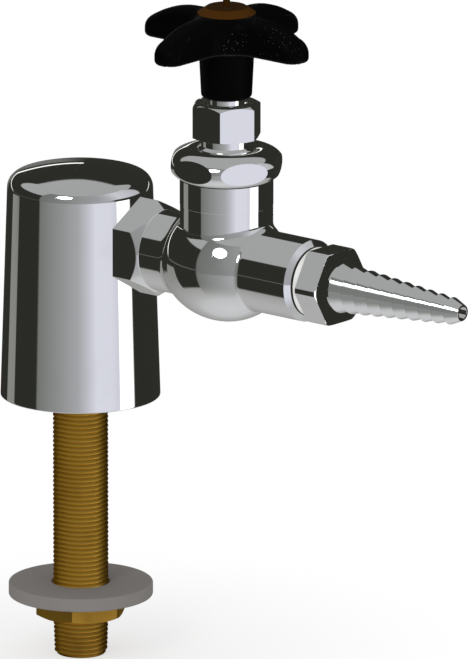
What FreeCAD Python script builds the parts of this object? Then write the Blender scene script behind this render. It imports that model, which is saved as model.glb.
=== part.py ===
import FreeCAD, Part
import math
import os

import Sketcher

# Deck-mounted laboratory gas tap: a tapered turret, a side needle valve with a
# four-arm handle, and a serrated hose nozzle.
# Row frame, millimetres: the origin is the centre of the turret's base at the
# deck, +Z is up and +X runs along the arm to the hose nozzle.

SIZES = {
    # clearances
    "thread_gap": 0.05,
    "run_gap": 0.06,
    "loose_gap": 0.4,
    "seal_gap": 0.12,
    # pipe thread shared by the shank and the nipple
    "pipe_r": 8.5,
    "pipe_bore_r": 6.25,
    "pipe_pitch": 1.411,
    "pipe_depth": 0.85,
    "pipe_crest": 0.2,
    # turret
    "arm_z": 51.2,
    "turret_r": 24.55,
    "turret_corner_r": 22.26,
    "turret_corner_z": 68.78,
    "turret_dome_rise": 3.82,
    "turret_edge_round": 4.6,
    "turret_wall": 2.8,
    "turret_roof": 7.0,
    "turret_boss_r": 13.0,
    "turret_boss_lift": 3.0,
    "turret_socket_depth": 16.0,
    "port_boss_r": 11.5,
    "port_socket_x": 9.0,
    "waterway_r": 5.0,
    # shank, washer and locknut
    "shank_drop": 82.3,
    "shank_taper_length": 12.3,
    "shank_tip_r": 8.1,
    "shank_chamfer": 0.8,
    "washer_r": 22.2,
    "washer_thick": 4.0,
    "washer_drop": 59.2,
    "locknut_flats": 25.2,
    "locknut_thick": 5.8,
    # valve body
    "inlet_gap": 1.05,
    "inlet_reach": 34.9,
    "inlet_hex_length": 9.8,
    "inlet_hex_flats": 25.4,
    "inlet_hex_chamfer": 2.4,
    "inlet_socket_depth": 15.0,
    "arm_r": 12.6,
    "ball_r": 17.8,
    "ball_half_length": 20.0,
    "outlet_reach": 34.5,
    "barrel_chamfer_length": 1.2,
    "barrel_chamfer_depth": 1.86,
    "outlet_socket_depth": 12.0,
    "outlet_overlap": 1.2,
    "neck_r": 14.2,
    "neck_line_rise": 18.7,
    "neck_line_width": 0.3,
    "neck_line_depth": 0.2,
    "neck_thread_depth": 0.6,
    "neck_shoulder_rise": 26.7,
    "neck_thread_length": 3.1,
    "chamber_r": 9.0,
    "web_drop": 1.2,
    "web_thick": 4.6,
    "well_r": 6.0,
    "well_depth": 7.4,
    "passage_r": 3.2,
    "passage_tilt": 132,
    # seat and needle
    "seat_thread_r": 5.0,
    "seat_flange_r": 6.6,
    "seat_flange_thick": 1.5,
    "seat_bore_r": 2.2,
    "gasket_thick": 0.6,
    "needle_slope": 0.5,
    "needle_tip_r": 0.6,
    "needle_head_r": 4.0,
    "needle_head_length": 3.0,
    "needle_stem_r": 2.4,
    "needle_stem_length": 8.0,
    "clip_depth": 0.5,
    "clip_reach": 0.5,
    "clip_thick": 0.8,
    "clip_height": 4.0,
    # bonnet and cap nut
    "bonnet_foot_rise": 10.8,
    "bonnet_flange_r": 13.2,
    "bonnet_flange_thick": 2.55,
    "bonnet_step_r": 8.6,
    "bonnet_step_height": 3.3,
    "collar_r": 7.7,
    "collar_show": 4.5,
    "collar_thread": 5.5,
    "cap_ring_r": 12.5,
    "cap_round_r": 5.1,
    "cap_flats": 31.8,
    "cap_hole_gap": 0.5,
    # packing and packing nut
    "packing_r": 6.3,
    "packing_floor_rise": 1.0,
    "packing_web": 3.8,
    "packing_height": 3.2,
    "packing_count": 3,
    "gland_flange_r": 7.4,
    "gland_flange_thick": 1.8,
    "packing_nut_flats": 19.05,
    "packing_nut_height": 10.5,
    "packing_nut_web": 2.9,
    "packing_nut_chamfer": 0.9,
    # spindle
    "spindle_travel": 3.81,
    "spindle_thread_r": 5.6,
    "spindle_stem_r": 4.4,
    "spindle_shoulder_r": 5.35,
    "spindle_square": 7.4,
    "spindle_show": 2.2,
    # handle
    "hub_bottom_r": 7.73,
    "hub_top_r": 8.48,
    "hub_length": 14.4,
    "hub_round": 1.2,
    "hub_socket_depth": 0.8,
    "handle_reach": 31.2,
    "handle_flat_r": 14.5,
    "arm_half_width": 4.8,
    "arm_root_round": 8.3,
    "arm_height": 11.1,
    "arm_edge_rise": 1.7,
    "arm_edge_set": 1.2,
    "recess_r": 7.0,
    "recess_depth": 12.2,
    # screw, lock washer and button
    "screw_r": 2.0,
    "screw_length": 10.0,
    "screw_head_r": 4.0,
    "screw_head_height": 2.8,
    "screw_slot": 1.2,
    "lock_washer_r": 4.3,
    "lock_washer_thick": 1.0,
    "button_r": 9.05,
    "button_top_r": 6.05,
    "button_height": 2.1,
    "button_plug_length": 4.2,
    "nub_r": 1.05,
    "nub_height": 2.4,
    # hose nozzle
    "nozzle_face_gap": 0.75,
    "nozzle_thread_r": 8.3,
    "nozzle_back_r": 10.6,
    "nozzle_back_chamfer": 2.3,
    "nozzle_flats": 22.2,
    "nozzle_bar_r": 12.3,
    "nozzle_core_r": 6.5,
    "nozzle_hex_length": 6.9,
    "nozzle_front_chamfer": 1.1,
    "nozzle_neck_r": 7.0,
    "nozzle_neck_length": 2.4,
    "barb_count": 10,
    "barb_pitch": 4.71,
    "barb_r": 7.55,
    "barb_shrink": 0.385,
    "barb_step": 0.42,
    "tip_r": 2.6,
    "tip_bore_r": 2.15,
    "nozzle_bore_r": 4.2,
}


# A size knows its number, for drawing, and its formula, for the document.
class Size:
    def __init__(self, value, formula):
        self.value = value
        self.formula = formula

    def __add__(self, other):
        other = as_size(other)
        return Size(self.value + other.value, f"({self.formula} + {other.formula})")

    def __sub__(self, other):
        other = as_size(other)
        return Size(self.value - other.value, f"({self.formula} - {other.formula})")

    def __mul__(self, other):
        other = as_size(other)
        return Size(self.value * other.value, f"({self.formula} * {other.formula})")

    def __truediv__(self, other):
        other = as_size(other)
        return Size(self.value / other.value, f"({self.formula} / {other.formula})")

    def __rsub__(self, other):
        return as_size(other) - self

    def __neg__(self):
        return as_size(0) - self

    __radd__ = __add__
    __rmul__ = __mul__


def as_size(number):
    if isinstance(number, Size):
        return number
    return Size(float(number), f"{float(number):g}")


# How far an arc about the origin stands from its diameter at a given place.
def height_on_arc(radius, place):
    height = math.sqrt(radius.value ** 2 - place.value ** 2)
    return Size(height, f"sqrt({radius.formula} ^ 2 - ({place.formula}) ^ 2)")


doc = FreeCAD.newDocument("DeckTap")
sheet = doc.addObject("Spreadsheet::Sheet", "Sizes")
size = {}


# Writes one line of the sheet: a plain number, or a formula of earlier lines.
def add_size(name, value):
    row = len(size) + 1
    cell = str(value)
    if isinstance(value, Size):
        cell = "=" + value.formula.replace("Sizes.", "")
    sheet.set(f"A{row}", name)
    sheet.set(f"B{row}", cell)
    sheet.setAlias(f"B{row}", name)
    size[name] = Size(as_size(value).value, f"Sizes.{name}")


# Places that follow from the driving sizes, from the deck up and outwards.
def derive_sizes():
    s = size
    add_size("turret_crown_z", s["turret_corner_z"] + s["turret_dome_rise"])
    taper = (s["turret_r"] - s["turret_corner_r"]) / s["turret_corner_z"]
    add_size("turret_slope", taper)
    wall_x = s["turret_r"] - s["turret_slope"] * s["arm_z"]
    add_size("inlet_face_x", wall_x + s["inlet_gap"])
    add_size("valve_x", s["inlet_face_x"] + s["inlet_reach"])
    add_size("barrel_end_x", s["valve_x"] + s["outlet_reach"])
    add_size("web_top_z", s["arm_z"] - s["web_drop"])
    add_size("web_bottom_z", s["web_top_z"] - s["web_thick"])
    add_size("seat_top_z", s["web_top_z"] + s["gasket_thick"] + s["seat_flange_thick"])
    below_edge = (s["seat_bore_r"] - s["seal_gap"] - s["needle_tip_r"]) / s["needle_slope"]
    add_size("needle_z", s["seat_top_z"] - below_edge)
    cone_length = (s["needle_head_r"] - s["needle_tip_r"]) / s["needle_slope"]
    add_size("needle_cone_length", cone_length)
    add_size("needle_head_top", s["needle_cone_length"] + s["needle_head_length"])
    add_size("needle_stem_top", s["needle_head_top"] + s["needle_stem_length"])
    add_size("clip_low", s["needle_head_top"] + s["clip_height"])
    add_size("spindle_foot_z", s["needle_z"] + s["needle_head_top"] + s["seal_gap"])
    add_size("neck_shoulder_z", s["arm_z"] + s["neck_shoulder_rise"])
    add_size("neck_top_z", s["neck_shoulder_z"] + s["neck_thread_length"])
    add_size("neck_thread_r", s["neck_r"] - s["neck_thread_depth"])
    add_size("bonnet_foot_z", s["arm_z"] + s["bonnet_foot_rise"])
    add_size("flange_z", s["neck_top_z"] + s["gasket_thick"])
    add_size("flange_top_z", s["flange_z"] + s["bonnet_flange_thick"])
    add_size("cap_z", s["neck_shoulder_z"] + s["cap_round_r"] + s["thread_gap"])
    add_size("bonnet_step_z", s["flange_top_z"] + s["bonnet_step_height"])
    add_size("packing_floor_z", s["neck_top_z"] + s["packing_floor_rise"])
    add_size("bonnet_thread_top", s["packing_floor_z"] - s["packing_web"])
    thread_top = s["bonnet_thread_top"] - s["spindle_travel"] - 2 * s["loose_gap"]
    add_size("spindle_thread_top", thread_top)
    add_size("gland_z", s["packing_floor_z"] + s["packing_count"] * s["packing_height"])
    add_size("packing_nut_z", s["bonnet_step_z"] + s["collar_show"])
    add_size("collar_top_z", s["packing_nut_z"] + s["collar_thread"])
    add_size("packing_nut_top_z", s["packing_nut_z"] + s["packing_nut_height"])
    add_size("nut_web_z", s["packing_nut_top_z"] - s["packing_nut_web"])
    add_size("gland_top_z", s["nut_web_z"] - s["thread_gap"])
    add_size("hub_bottom_z", s["packing_nut_top_z"] + s["spindle_show"])
    add_size("arm_under_z", s["hub_bottom_z"] + s["hub_length"])
    add_size("handle_top_z", s["arm_under_z"] + s["arm_height"])
    add_size("recess_floor_z", s["handle_top_z"] - s["recess_depth"])


for size_name, number in SIZES.items():
    add_size(size_name, number)
derive_sizes()
doc.recompute()

ALONG_X = FreeCAD.Rotation(FreeCAD.Vector(0, 1, 0), 90)
UPRIGHT = FreeCAD.Rotation()
TWELFTH_TURN = FreeCAD.Rotation(FreeCAD.Vector(0, 0, 1), 30)
HEX_POINT = 2 / math.sqrt(3)


def bind(thing, field, value):
    value = as_size(value)
    thing.setExpression(field, value.formula)


def put(thing, at=(0, 0, 0), turn=UPRIGHT):
    thing.Placement = FreeCAD.Placement(FreeCAD.Vector(0, 0, 0), turn)
    for axis, value in zip("xyz", at):
        bind(thing, f"Placement.Base.{axis}", value)
    return thing


def cylinder(name, radius, height, at=(0, 0, 0), turn=UPRIGHT):
    made = doc.addObject("Part::Cylinder", name)
    bind(made, "Radius", radius)
    bind(made, "Height", height)
    return put(made, at, turn)


def box(name, length, width, height, at=(0, 0, 0)):
    made = doc.addObject("Part::Box", name)
    bind(made, "Length", length)
    bind(made, "Width", width)
    bind(made, "Height", height)
    return put(made, at)


def hexagon(name, flats, height, at=(0, 0, 0), turn=UPRIGHT):
    made = doc.addObject("Part::Prism", name)
    made.Polygon = 6
    bind(made, "Circumradius", flats * (HEX_POINT / 2))
    bind(made, "Height", height)
    return put(made, at, turn)


def fuse(name, pieces):
    made = doc.addObject("Part::MultiFuse", name)
    made.Shapes = pieces
    made.Refine = True
    return made


def cut(name, base, tool):
    made = doc.addObject("Part::Cut", name)
    made.Base = base
    made.Tool = tool
    return made


def common(name, one, other):
    made = doc.addObject("Part::Common", name)
    made.Base = one
    made.Tool = other
    return made


def plane_of(body, role):
    for feature in body.Origin.OriginFeatures:
        if feature.Role == role:
            return feature
    raise ValueError(role)


def sketch_on(body, role, name):
    sketch = body.newObject("Sketcher::SketchObject", name)
    sketch.AttachmentSupport = [(plane_of(body, role), "")]
    sketch.MapMode = "FlatFace"
    return sketch


# Ties one end of a sketched edge to its distances from the sketch's origin.
def pin_point(sketch, edge, end, across, up):
    for kind, value, axis_line in (("DistanceX", across, -2), ("DistanceY", up, -1)):
        if value.formula == "0":
            sketch.addConstraint(Sketcher.Constraint("PointOnObject", edge, end, axis_line))
        else:
            rule = Sketcher.Constraint(kind, -1, 1, edge, end, value.value)
            index = sketch.addConstraint(rule)
            sketch.setExpression(f"Constraints[{index}]", value.formula)


# The middle of an arc that bulges to the right of its direction of travel.
def arc_middle(start, end, radius):
    chord = end - start
    half = chord.Length / 2
    sagitta = radius - math.sqrt(radius * radius - half * half)
    side = FreeCAD.Vector(chord.y, -chord.x, 0).normalize()
    return (start + end) * 0.5 + side * sagitta


# Draws a closed outline. A corner is (across, up) or (across, up, radius), where
# the radius makes the edge that arrives there an arc bulging to the right.
def draw_outline(sketch, corners):
    spots = []
    for corner in corners:
        spots.append((as_size(corner[0]), as_size(corner[1])))
    last = len(corners) - 1
    for index, (across, up) in enumerate(spots):
        following = 0 if index == last else index + 1
        start = FreeCAD.Vector(across.value, up.value, 0)
        end = FreeCAD.Vector(spots[following][0].value, spots[following][1].value, 0)
        if len(corners[following]) == 3:
            radius = as_size(corners[following][2])
            middle = arc_middle(start, end, radius.value)
            arc = Part.Arc(start, middle, end)
            edge = sketch.addGeometry(arc, False)
            rule = sketch.addConstraint(Sketcher.Constraint("Radius", edge, radius.value))
            sketch.setExpression(f"Constraints[{rule}]", radius.formula)
        else:
            sketch.addGeometry(Part.LineSegment(start, end), False)
    for index in range(len(spots)):
        start_end, finish_end = edge_ends(sketch, index, spots[index])
        before = last if index == 0 else index - 1
        tail = edge_ends(sketch, before, spots[before])[1]
        sketch.addConstraint(Sketcher.Constraint("Coincident", before, tail, index, start_end))
        pin_point(sketch, index, start_end, *spots[index])


# An arc may be stored from its other end, so its ends are told by their place.
def edge_ends(sketch, index, spot):
    here = sketch.getPoint(index, 1)
    distance = math.hypot(here.x - spot[0].value, here.y - spot[1].value)
    return (1, 2) if distance < 1e-6 else (2, 1)


def new_body(name, at=(0, 0, 0), turn=UPRIGHT):
    body = doc.addObject("PartDesign::Body", name)
    return put(body, at, turn)


# A piece turned on a lathe: corners are (radius, distance along its axis).
def turned(name, corners, at=(0, 0, 0), turn=UPRIGHT):
    body = new_body(name, at, turn)
    sketch = sketch_on(body, "XZ_Plane", name + "_profile")
    draw_outline(sketch, corners)
    lathe = body.newObject("PartDesign::Revolution", name + "_turned")
    lathe.Profile = sketch
    lathe.ReferenceAxis = (sketch, ["V_Axis"])
    lathe.Angle = 360
    return body


def ring(name, inner, outer, height, at=(0, 0, 0), turn=UPRIGHT):
    return turned(name, [(inner, 0), (outer, 0), (outer, height), (inner, height)], at, turn)


nodes = []


def finish(thing, label):
    thing.Label = label
    nodes.append(thing)
    return thing


# Turret body: a tapered casting, open underneath, with a boss for the shank and
# a side boss for the nipple.
def make_turret():
    s = size
    rise = s["turret_dome_rise"]
    half = s["turret_corner_r"]
    dome_r = (half * half + rise * rise) / (2 * rise)
    outer = turned("turret_outer", [
        (0, 0),
        (s["turret_r"], 0),
        (s["turret_corner_r"], s["turret_corner_z"]),
        (0, s["turret_crown_z"], dome_r),
    ])
    doc.recompute()
    solid = outer.Tip.Shape
    for index, edge in enumerate(solid.Edges, start=1):
        flat = edge.BoundBox.ZLength < 1e-6
        if flat and abs(edge.BoundBox.ZMin - s["turret_corner_z"].value) < 1e-3:
            rounding = outer.newObject("PartDesign::Fillet", "turret_edge")
            rounding.Base = (outer.Group[-2], [f"Edge{index}"])
            bind(rounding, "Radius", s["turret_edge_round"])
            outer.Tip = rounding
            break
    roof_z = s["turret_corner_z"] - s["turret_roof"]
    inner_base = s["turret_r"] - s["turret_wall"]
    hollow = turned("turret_hollow", [
        (0, 0),
        (inner_base, 0),
        (inner_base - s["turret_slope"] * roof_z, roof_z),
        (0, roof_z),
    ])
    boss = cylinder("shank_boss", s["turret_boss_r"], roof_z, (0, 0, s["turret_boss_lift"]))
    port_boss = cylinder("port_boss", s["port_boss_r"], s["turret_r"], (0, 0, s["arm_z"]), ALONG_X)
    bosses = fuse("turret_bosses", [boss, port_boss])
    space = cut("turret_space", hollow, bosses)
    socket_r = s["pipe_r"] + s["thread_gap"]
    drilled = fuse("turret_drilled", [
        cylinder("shank_socket", socket_r, s["turret_boss_lift"] + s["turret_socket_depth"]),
        cylinder("turret_waterway", s["waterway_r"], s["arm_z"]),
        cylinder("turret_cross_bore", s["waterway_r"], s["turret_r"], (0, 0, s["arm_z"]), ALONG_X),
        cylinder("port_socket", socket_r, s["turret_r"], (s["port_socket_x"], 0, s["arm_z"]), ALONG_X),
    ])
    shell = cut("turret_shell", outer, space)
    finish(cut("turret_cut", shell, drilled), "turret_body")


# Shank: threaded brass pipe that holds the turret to the deck and feeds it.
def make_shank():
    s = size
    top = s["turret_boss_lift"] + s["turret_socket_depth"]
    length = s["shank_drop"] + top
    chamfer = s["shank_chamfer"]
    tip_r = s["shank_tip_r"]
    body = turned("shank", [
        (s["pipe_bore_r"], 0),
        (tip_r - chamfer, 0),
        (tip_r, chamfer),
        (s["pipe_r"], s["shank_taper_length"]),
        (s["pipe_r"], length),
        (s["pipe_bore_r"], length),
    ], (0, 0, -s["shank_drop"]))
    groove_half = (s["pipe_pitch"] - s["pipe_crest"]) / 2
    first = chamfer + s["pipe_pitch"]
    sketch = sketch_on(body, "XZ_Plane", "thread_valley")
    root_r = s["pipe_r"] - s["pipe_depth"]
    draw_outline(sketch, [
        (root_r, first),
        (s["pipe_r"] + s["thread_gap"], first - groove_half * (1 + s["thread_gap"] / s["pipe_depth"])),
        (s["pipe_r"] + s["thread_gap"], first + groove_half * (1 + s["thread_gap"] / s["pipe_depth"])),
    ])
    valley = body.newObject("PartDesign::Groove", "thread_groove")
    valley.Profile = sketch
    valley.ReferenceAxis = (sketch, ["V_Axis"])
    valley.Angle = 360
    doc.recompute()
    rows = body.newObject("PartDesign::LinearPattern", "thread_rows")
    rows.Originals = [valley]
    rows.Direction = (sketch, ["V_Axis"])
    threaded = s["shank_drop"] - first
    count = Size(math.floor(threaded.value / s["pipe_pitch"].value),
                 f"floor({threaded.formula} / {s['pipe_pitch'].formula})")
    rows.Mode = "Spacing"
    bind(rows, "Offset", s["pipe_pitch"])
    bind(rows, "Occurrences", count)
    body.Tip = rows
    finish(body, "supply_shank")


# The pieces that clamp the deck from below.
def make_deck_hardware():
    s = size
    washer_z = -(s["washer_drop"] + s["washer_thick"])
    washer = ring("washer", s["pipe_r"] + s["loose_gap"], s["washer_r"], s["washer_thick"],
                  (0, 0, washer_z))
    finish(washer, "deck_washer")
    nut_z = washer_z - s["locknut_thick"]
    finish(hex_nut("locknut", s["locknut_flats"], s["locknut_thick"],
                   s["pipe_r"] + s["run_gap"], (0, 0, nut_z)), "locknut")


# A hexagon with both ends turned down to a round face and a plain bore.
def hex_nut(name, flats, height, bore, at):
    stock = hexagon(name + "_stock", flats, height, at)
    point_r = flats * (HEX_POINT / 2)
    face_r = flats / 2
    drop = (point_r - face_r) / 2
    turning = turned(name + "_turning", [
        (bore, 0),
        (face_r, 0),
        (point_r, drop),
        (point_r, height - drop),
        (face_r, height),
        (bore, height),
    ], at)
    return common(name + "_cut", stock, turning)


# Nipple between the turret and the valve.
def make_nipple():
    s = size
    length = s["inlet_face_x"] + s["inlet_socket_depth"] - s["port_socket_x"]
    nipple = ring("nipple", s["waterway_r"], s["pipe_r"], length,
                  (s["port_socket_x"], 0, s["arm_z"]), ALONG_X)
    finish(nipple, "inlet_nipple")


# Valve body: inlet hexagon, arm, ball, neck and outlet barrel in one casting.
def make_valve_body():
    s = size
    at_ball = (s["valve_x"], 0, s["arm_z"])
    at_inlet = (s["inlet_face_x"], 0, s["arm_z"])
    hex_end = s["inlet_face_x"] + s["inlet_hex_length"]
    point_r = s["inlet_hex_flats"] * (HEX_POINT / 2)
    stock = hexagon("inlet_hex_stock", s["inlet_hex_flats"], s["inlet_hex_length"],
                    at_inlet, ALONG_X)
    turning = turned("inlet_hex_turning", [
        (0, 0),
        (point_r, 0),
        (point_r, s["inlet_hex_length"] - s["inlet_hex_chamfer"]),
        (s["arm_r"], s["inlet_hex_length"]),
        (0, s["inlet_hex_length"]),
    ], at_inlet, ALONG_X)
    inlet_hex = common("inlet_hex", stock, turning)
    ball = doc.addObject("Part::Ellipsoid", "ball")
    bind(ball, "Radius1", s["ball_half_length"])
    bind(ball, "Radius2", s["ball_r"])
    bind(ball, "Radius3", s["ball_r"])
    put(ball, at_ball, ALONG_X)
    barrel_length = s["barrel_end_x"] - hex_end
    barrel = turned("arm_barrel", [
        (0, 0),
        (s["arm_r"], 0),
        (s["arm_r"], barrel_length - s["barrel_chamfer_length"]),
        (s["arm_r"] - s["barrel_chamfer_depth"], barrel_length),
        (0, barrel_length),
    ], (hex_end, 0, s["arm_z"]), ALONG_X)
    line_r = s["neck_r"] - s["neck_line_depth"]
    line_top = s["neck_line_rise"] + s["neck_line_width"]
    neck_height = s["neck_shoulder_rise"] + s["neck_thread_length"]
    neck = turned("neck", [
        (0, 0),
        (s["neck_r"], 0),
        (s["neck_r"], s["neck_line_rise"]),
        (line_r, s["neck_line_rise"]),
        (line_r, line_top),
        (s["neck_r"], line_top),
        (s["neck_r"], s["neck_shoulder_rise"]),
        (s["neck_thread_r"], s["neck_shoulder_rise"]),
        (s["neck_thread_r"], neck_height),
        (0, neck_height),
    ], at_ball)
    solid = fuse("valve_solid", [inlet_hex, ball, barrel, neck])
    socket_r = s["pipe_r"] + s["thread_gap"]
    seat_r = s["seat_thread_r"] + s["thread_gap"]
    outlet_socket_x = s["barrel_end_x"] - s["outlet_socket_depth"]
    outlet_x = s["valve_x"] + s["chamber_r"] - s["outlet_overlap"]
    inlet_bore_x = s["inlet_face_x"] + s["inlet_socket_depth"]
    inlet_bore = s["valve_x"] - s["ball_r"] + s["passage_r"] - inlet_bore_x
    passage = cylinder("inlet_passage", s["passage_r"], s["ball_r"],
                       (inlet_bore_x + inlet_bore - s["passage_r"] / 2, 0, s["arm_z"]), ALONG_X)
    bind(passage, "Placement.Rotation.Angle", s["passage_tilt"])
    drilled = fuse("valve_drilled", [
        cylinder("inlet_socket", socket_r, s["inlet_socket_depth"], at_inlet, ALONG_X),
        cylinder("inlet_bore", s["passage_r"], inlet_bore, (inlet_bore_x, 0, s["arm_z"]), ALONG_X),
        passage,
        cylinder("seat_well", s["well_r"], s["well_depth"],
                 (s["valve_x"], 0, s["web_bottom_z"] - s["well_depth"])),
        cylinder("seat_hole", seat_r, s["ball_r"],
                 (s["valve_x"], 0, s["web_bottom_z"] - s["gasket_thick"])),
        cylinder("valve_chamber", s["chamber_r"], s["neck_top_z"], (s["valve_x"], 0, s["web_top_z"])),
        cylinder("outlet_bore", s["waterway_r"], s["ball_r"] * 2, (outlet_x, 0, s["arm_z"]), ALONG_X),
        cylinder("outlet_socket", s["nozzle_thread_r"] + s["thread_gap"], s["ball_r"],
                 (outlet_socket_x, 0, s["arm_z"]), ALONG_X),
    ])
    finish(cut("valve_cut", solid, drilled), "valve_body")


# Seat, its gasket, and the needle cone that closes on it.
def make_seat_and_needle():
    s = size
    at = (s["valve_x"], 0, s["web_bottom_z"])
    web = s["web_thick"] + s["gasket_thick"]
    seat_top = web + s["seat_flange_thick"]
    finish(turned("seat", [
        (s["seat_bore_r"], 0),
        (s["seat_thread_r"], 0),
        (s["seat_thread_r"], web),
        (s["seat_flange_r"], web),
        (s["seat_flange_r"], seat_top),
        (s["seat_bore_r"], seat_top),
    ], at), "valve_seat")
    finish(ring("gasket_low", s["seat_thread_r"] + s["thread_gap"], s["seat_flange_r"],
                s["gasket_thick"], (s["valve_x"], 0, s["web_top_z"])), "seat_gasket")
    clip_high = s["clip_low"] + s["clip_thick"]
    groove_r = s["needle_stem_r"] - s["clip_depth"]
    finish(turned("needle", [
        (0, 0),
        (s["needle_tip_r"], 0),
        (s["needle_head_r"], s["needle_cone_length"]),
        (s["needle_head_r"], s["needle_head_top"]),
        (s["needle_stem_r"], s["needle_head_top"]),
        (s["needle_stem_r"], s["clip_low"]),
        (groove_r, s["clip_low"]),
        (groove_r, clip_high),
        (s["needle_stem_r"], clip_high),
        (s["needle_stem_r"], s["needle_stem_top"]),
        (0, s["needle_stem_top"]),
    ], (s["valve_x"], 0, s["needle_z"])), "needle_cone")
    clip_z = s["needle_z"] + s["clip_low"]
    clip = ring("clip_ring", groove_r, s["needle_stem_r"] + s["clip_reach"], s["clip_thick"],
                (s["valve_x"], 0, clip_z))
    mouth = box("clip_mouth", s["needle_head_r"], s["clip_thick"] * 2, s["clip_thick"],
                (s["valve_x"], -s["clip_thick"], clip_z))
    finish(cut("clip_cut", clip, mouth), "needle_clip")


# Bonnet with its gasket: it guides the spindle and holds the packing.
def make_bonnet():
    s = size
    foot = s["bonnet_foot_z"]
    body_r = s["chamber_r"] - s["thread_gap"]
    thread_r = s["spindle_thread_r"] + s["run_gap"]
    stem_r = s["spindle_stem_r"] + s["run_gap"]
    finish(turned("bonnet_piece", [
        (thread_r, 0),
        (body_r, 0),
        (body_r, s["flange_z"] - foot),
        (s["bonnet_flange_r"], s["flange_z"] - foot),
        (s["bonnet_flange_r"], s["flange_top_z"] - foot),
        (s["bonnet_step_r"], s["flange_top_z"] - foot),
        (s["bonnet_step_r"], s["bonnet_step_z"] - foot),
        (s["collar_r"], s["bonnet_step_z"] - foot),
        (s["collar_r"], s["collar_top_z"] - foot),
        (s["packing_r"], s["collar_top_z"] - foot),
        (s["packing_r"], s["packing_floor_z"] - foot),
        (stem_r, s["packing_floor_z"] - foot),
        (stem_r, s["bonnet_thread_top"] - foot),
        (thread_r, s["bonnet_thread_top"] - foot),
    ], (s["valve_x"], 0, foot)), "bonnet")
    finish(ring("gasket_high", s["chamber_r"], s["bonnet_flange_r"], s["gasket_thick"],
                (s["valve_x"], 0, s["neck_top_z"])), "bonnet_gasket")


# Cap nut: a round ring with six flats that clamps the bonnet to the neck.
def make_cap_nut():
    s = size
    low = s["cap_z"] - s["cap_round_r"]
    round_r = s["cap_round_r"]
    thread_r = s["neck_thread_r"] + s["thread_gap"]
    hole_r = s["bonnet_step_r"] + s["cap_hole_gap"]
    web_z = s["flange_top_z"] + s["thread_gap"] - s["cap_z"]
    turning = turned("cap_turning", [
        (hole_r, web_z),
        (thread_r, web_z),
        (thread_r, -height_on_arc(round_r, thread_r - s["cap_ring_r"])),
        (s["cap_ring_r"], round_r, round_r),
        (hole_r, height_on_arc(round_r, s["cap_ring_r"] - hole_r), round_r),
    ], (s["valve_x"], 0, s["cap_z"]), TWELFTH_TURN)
    flats = hexagon("cap_hex", s["cap_flats"], round_r * 2, (s["valve_x"], 0, low))
    finish(common("cap_cut", turning, flats), "bonnet_nut")


# Packing rings, gland and the packing nut that squeezes them.
def make_packing():
    s = size
    stem_hole = s["spindle_stem_r"] + s["run_gap"]
    outer = s["packing_r"] - s["thread_gap"]
    rings = []
    for index in range(int(SIZES["packing_count"])):
        rings.append(ring(f"packing_{index}", stem_hole, outer, s["packing_height"],
                          (s["valve_x"], 0, s["packing_floor_z"] + index * s["packing_height"])))
    stack = doc.addObject("Part::Compound", "packing_stack")
    stack.Links = rings
    finish(stack, "packing_rings")
    flange_top = s["gland_top_z"] - s["gland_z"]
    finish(turned("gland", [
        (stem_hole, 0),
        (outer, 0),
        (outer, flange_top - s["gland_flange_thick"]),
        (s["gland_flange_r"], flange_top - s["gland_flange_thick"]),
        (s["gland_flange_r"], flange_top),
        (stem_hole, flange_top),
    ], (s["valve_x"], 0, s["gland_z"])), "packing_gland")
    at = (s["valve_x"], 0, s["packing_nut_z"])
    stock = hexagon("packing_nut_stock", s["packing_nut_flats"], s["packing_nut_height"], at)
    point_r = s["packing_nut_flats"] * (HEX_POINT / 2)
    face_r = s["packing_nut_flats"] / 2
    chamfer = s["packing_nut_chamfer"]
    web = s["packing_nut_height"] - s["packing_nut_web"]
    thread_r = s["collar_r"] + s["thread_gap"]
    hole_r = s["spindle_shoulder_r"] + 2 * s["seal_gap"]
    turning = turned("packing_nut_turning", [
        (thread_r, 0),
        (point_r, 0),
        (point_r, s["packing_nut_height"] - chamfer),
        (face_r, s["packing_nut_height"]),
        (hole_r, s["packing_nut_height"]),
        (hole_r, web),
        (thread_r, web),
    ], at)
    finish(common("packing_nut_cut", stock, turning), "packing_nut")


# Spindle: threaded foot, stem through the packing, and a square for the handle.
def make_spindle():
    s = size
    foot = s["spindle_foot_z"]
    thread_top = s["spindle_thread_top"] - foot
    shoulder = s["gland_top_z"] + 2 * s["seal_gap"] - foot
    square_z = s["hub_bottom_z"] + s["hub_socket_depth"] - s["seal_gap"]
    bore_r = s["needle_stem_r"] + s["run_gap"]
    bore_top = s["needle_z"] + s["needle_stem_top"] + s["loose_gap"] - foot
    groove_r = s["needle_stem_r"] + s["clip_reach"] + s["seal_gap"]
    groove_low = s["needle_z"] + s["clip_low"] - s["seal_gap"] - foot
    groove_high = groove_low + s["clip_thick"] + 2 * s["seal_gap"]
    round_part = turned("spindle_round", [
        (bore_r, 0),
        (s["spindle_thread_r"], 0),
        (s["spindle_thread_r"], thread_top),
        (s["spindle_stem_r"], thread_top),
        (s["spindle_stem_r"], shoulder),
        (s["spindle_shoulder_r"], shoulder),
        (s["spindle_shoulder_r"], square_z - foot),
        (0, square_z - foot),
        (0, bore_top),
        (bore_r, bore_top),
        (bore_r, groove_high),
        (groove_r, groove_high),
        (groove_r, groove_low),
        (bore_r, groove_low),
    ], (s["valve_x"], 0, foot))
    half = s["spindle_square"] / 2
    square_top = s["recess_floor_z"] - s["loose_gap"]
    square = box("spindle_square", s["spindle_square"], s["spindle_square"],
                 square_top - square_z, (s["valve_x"] - half, -half, square_z))
    tapped = cylinder("spindle_tapped", s["screw_r"] + s["thread_gap"], s["screw_length"],
                      (s["valve_x"], 0, s["recess_floor_z"] - s["screw_length"]))
    finish(cut("spindle_cut", fuse("spindle_solid", [round_part, square]), tapped), "spindle")


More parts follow.
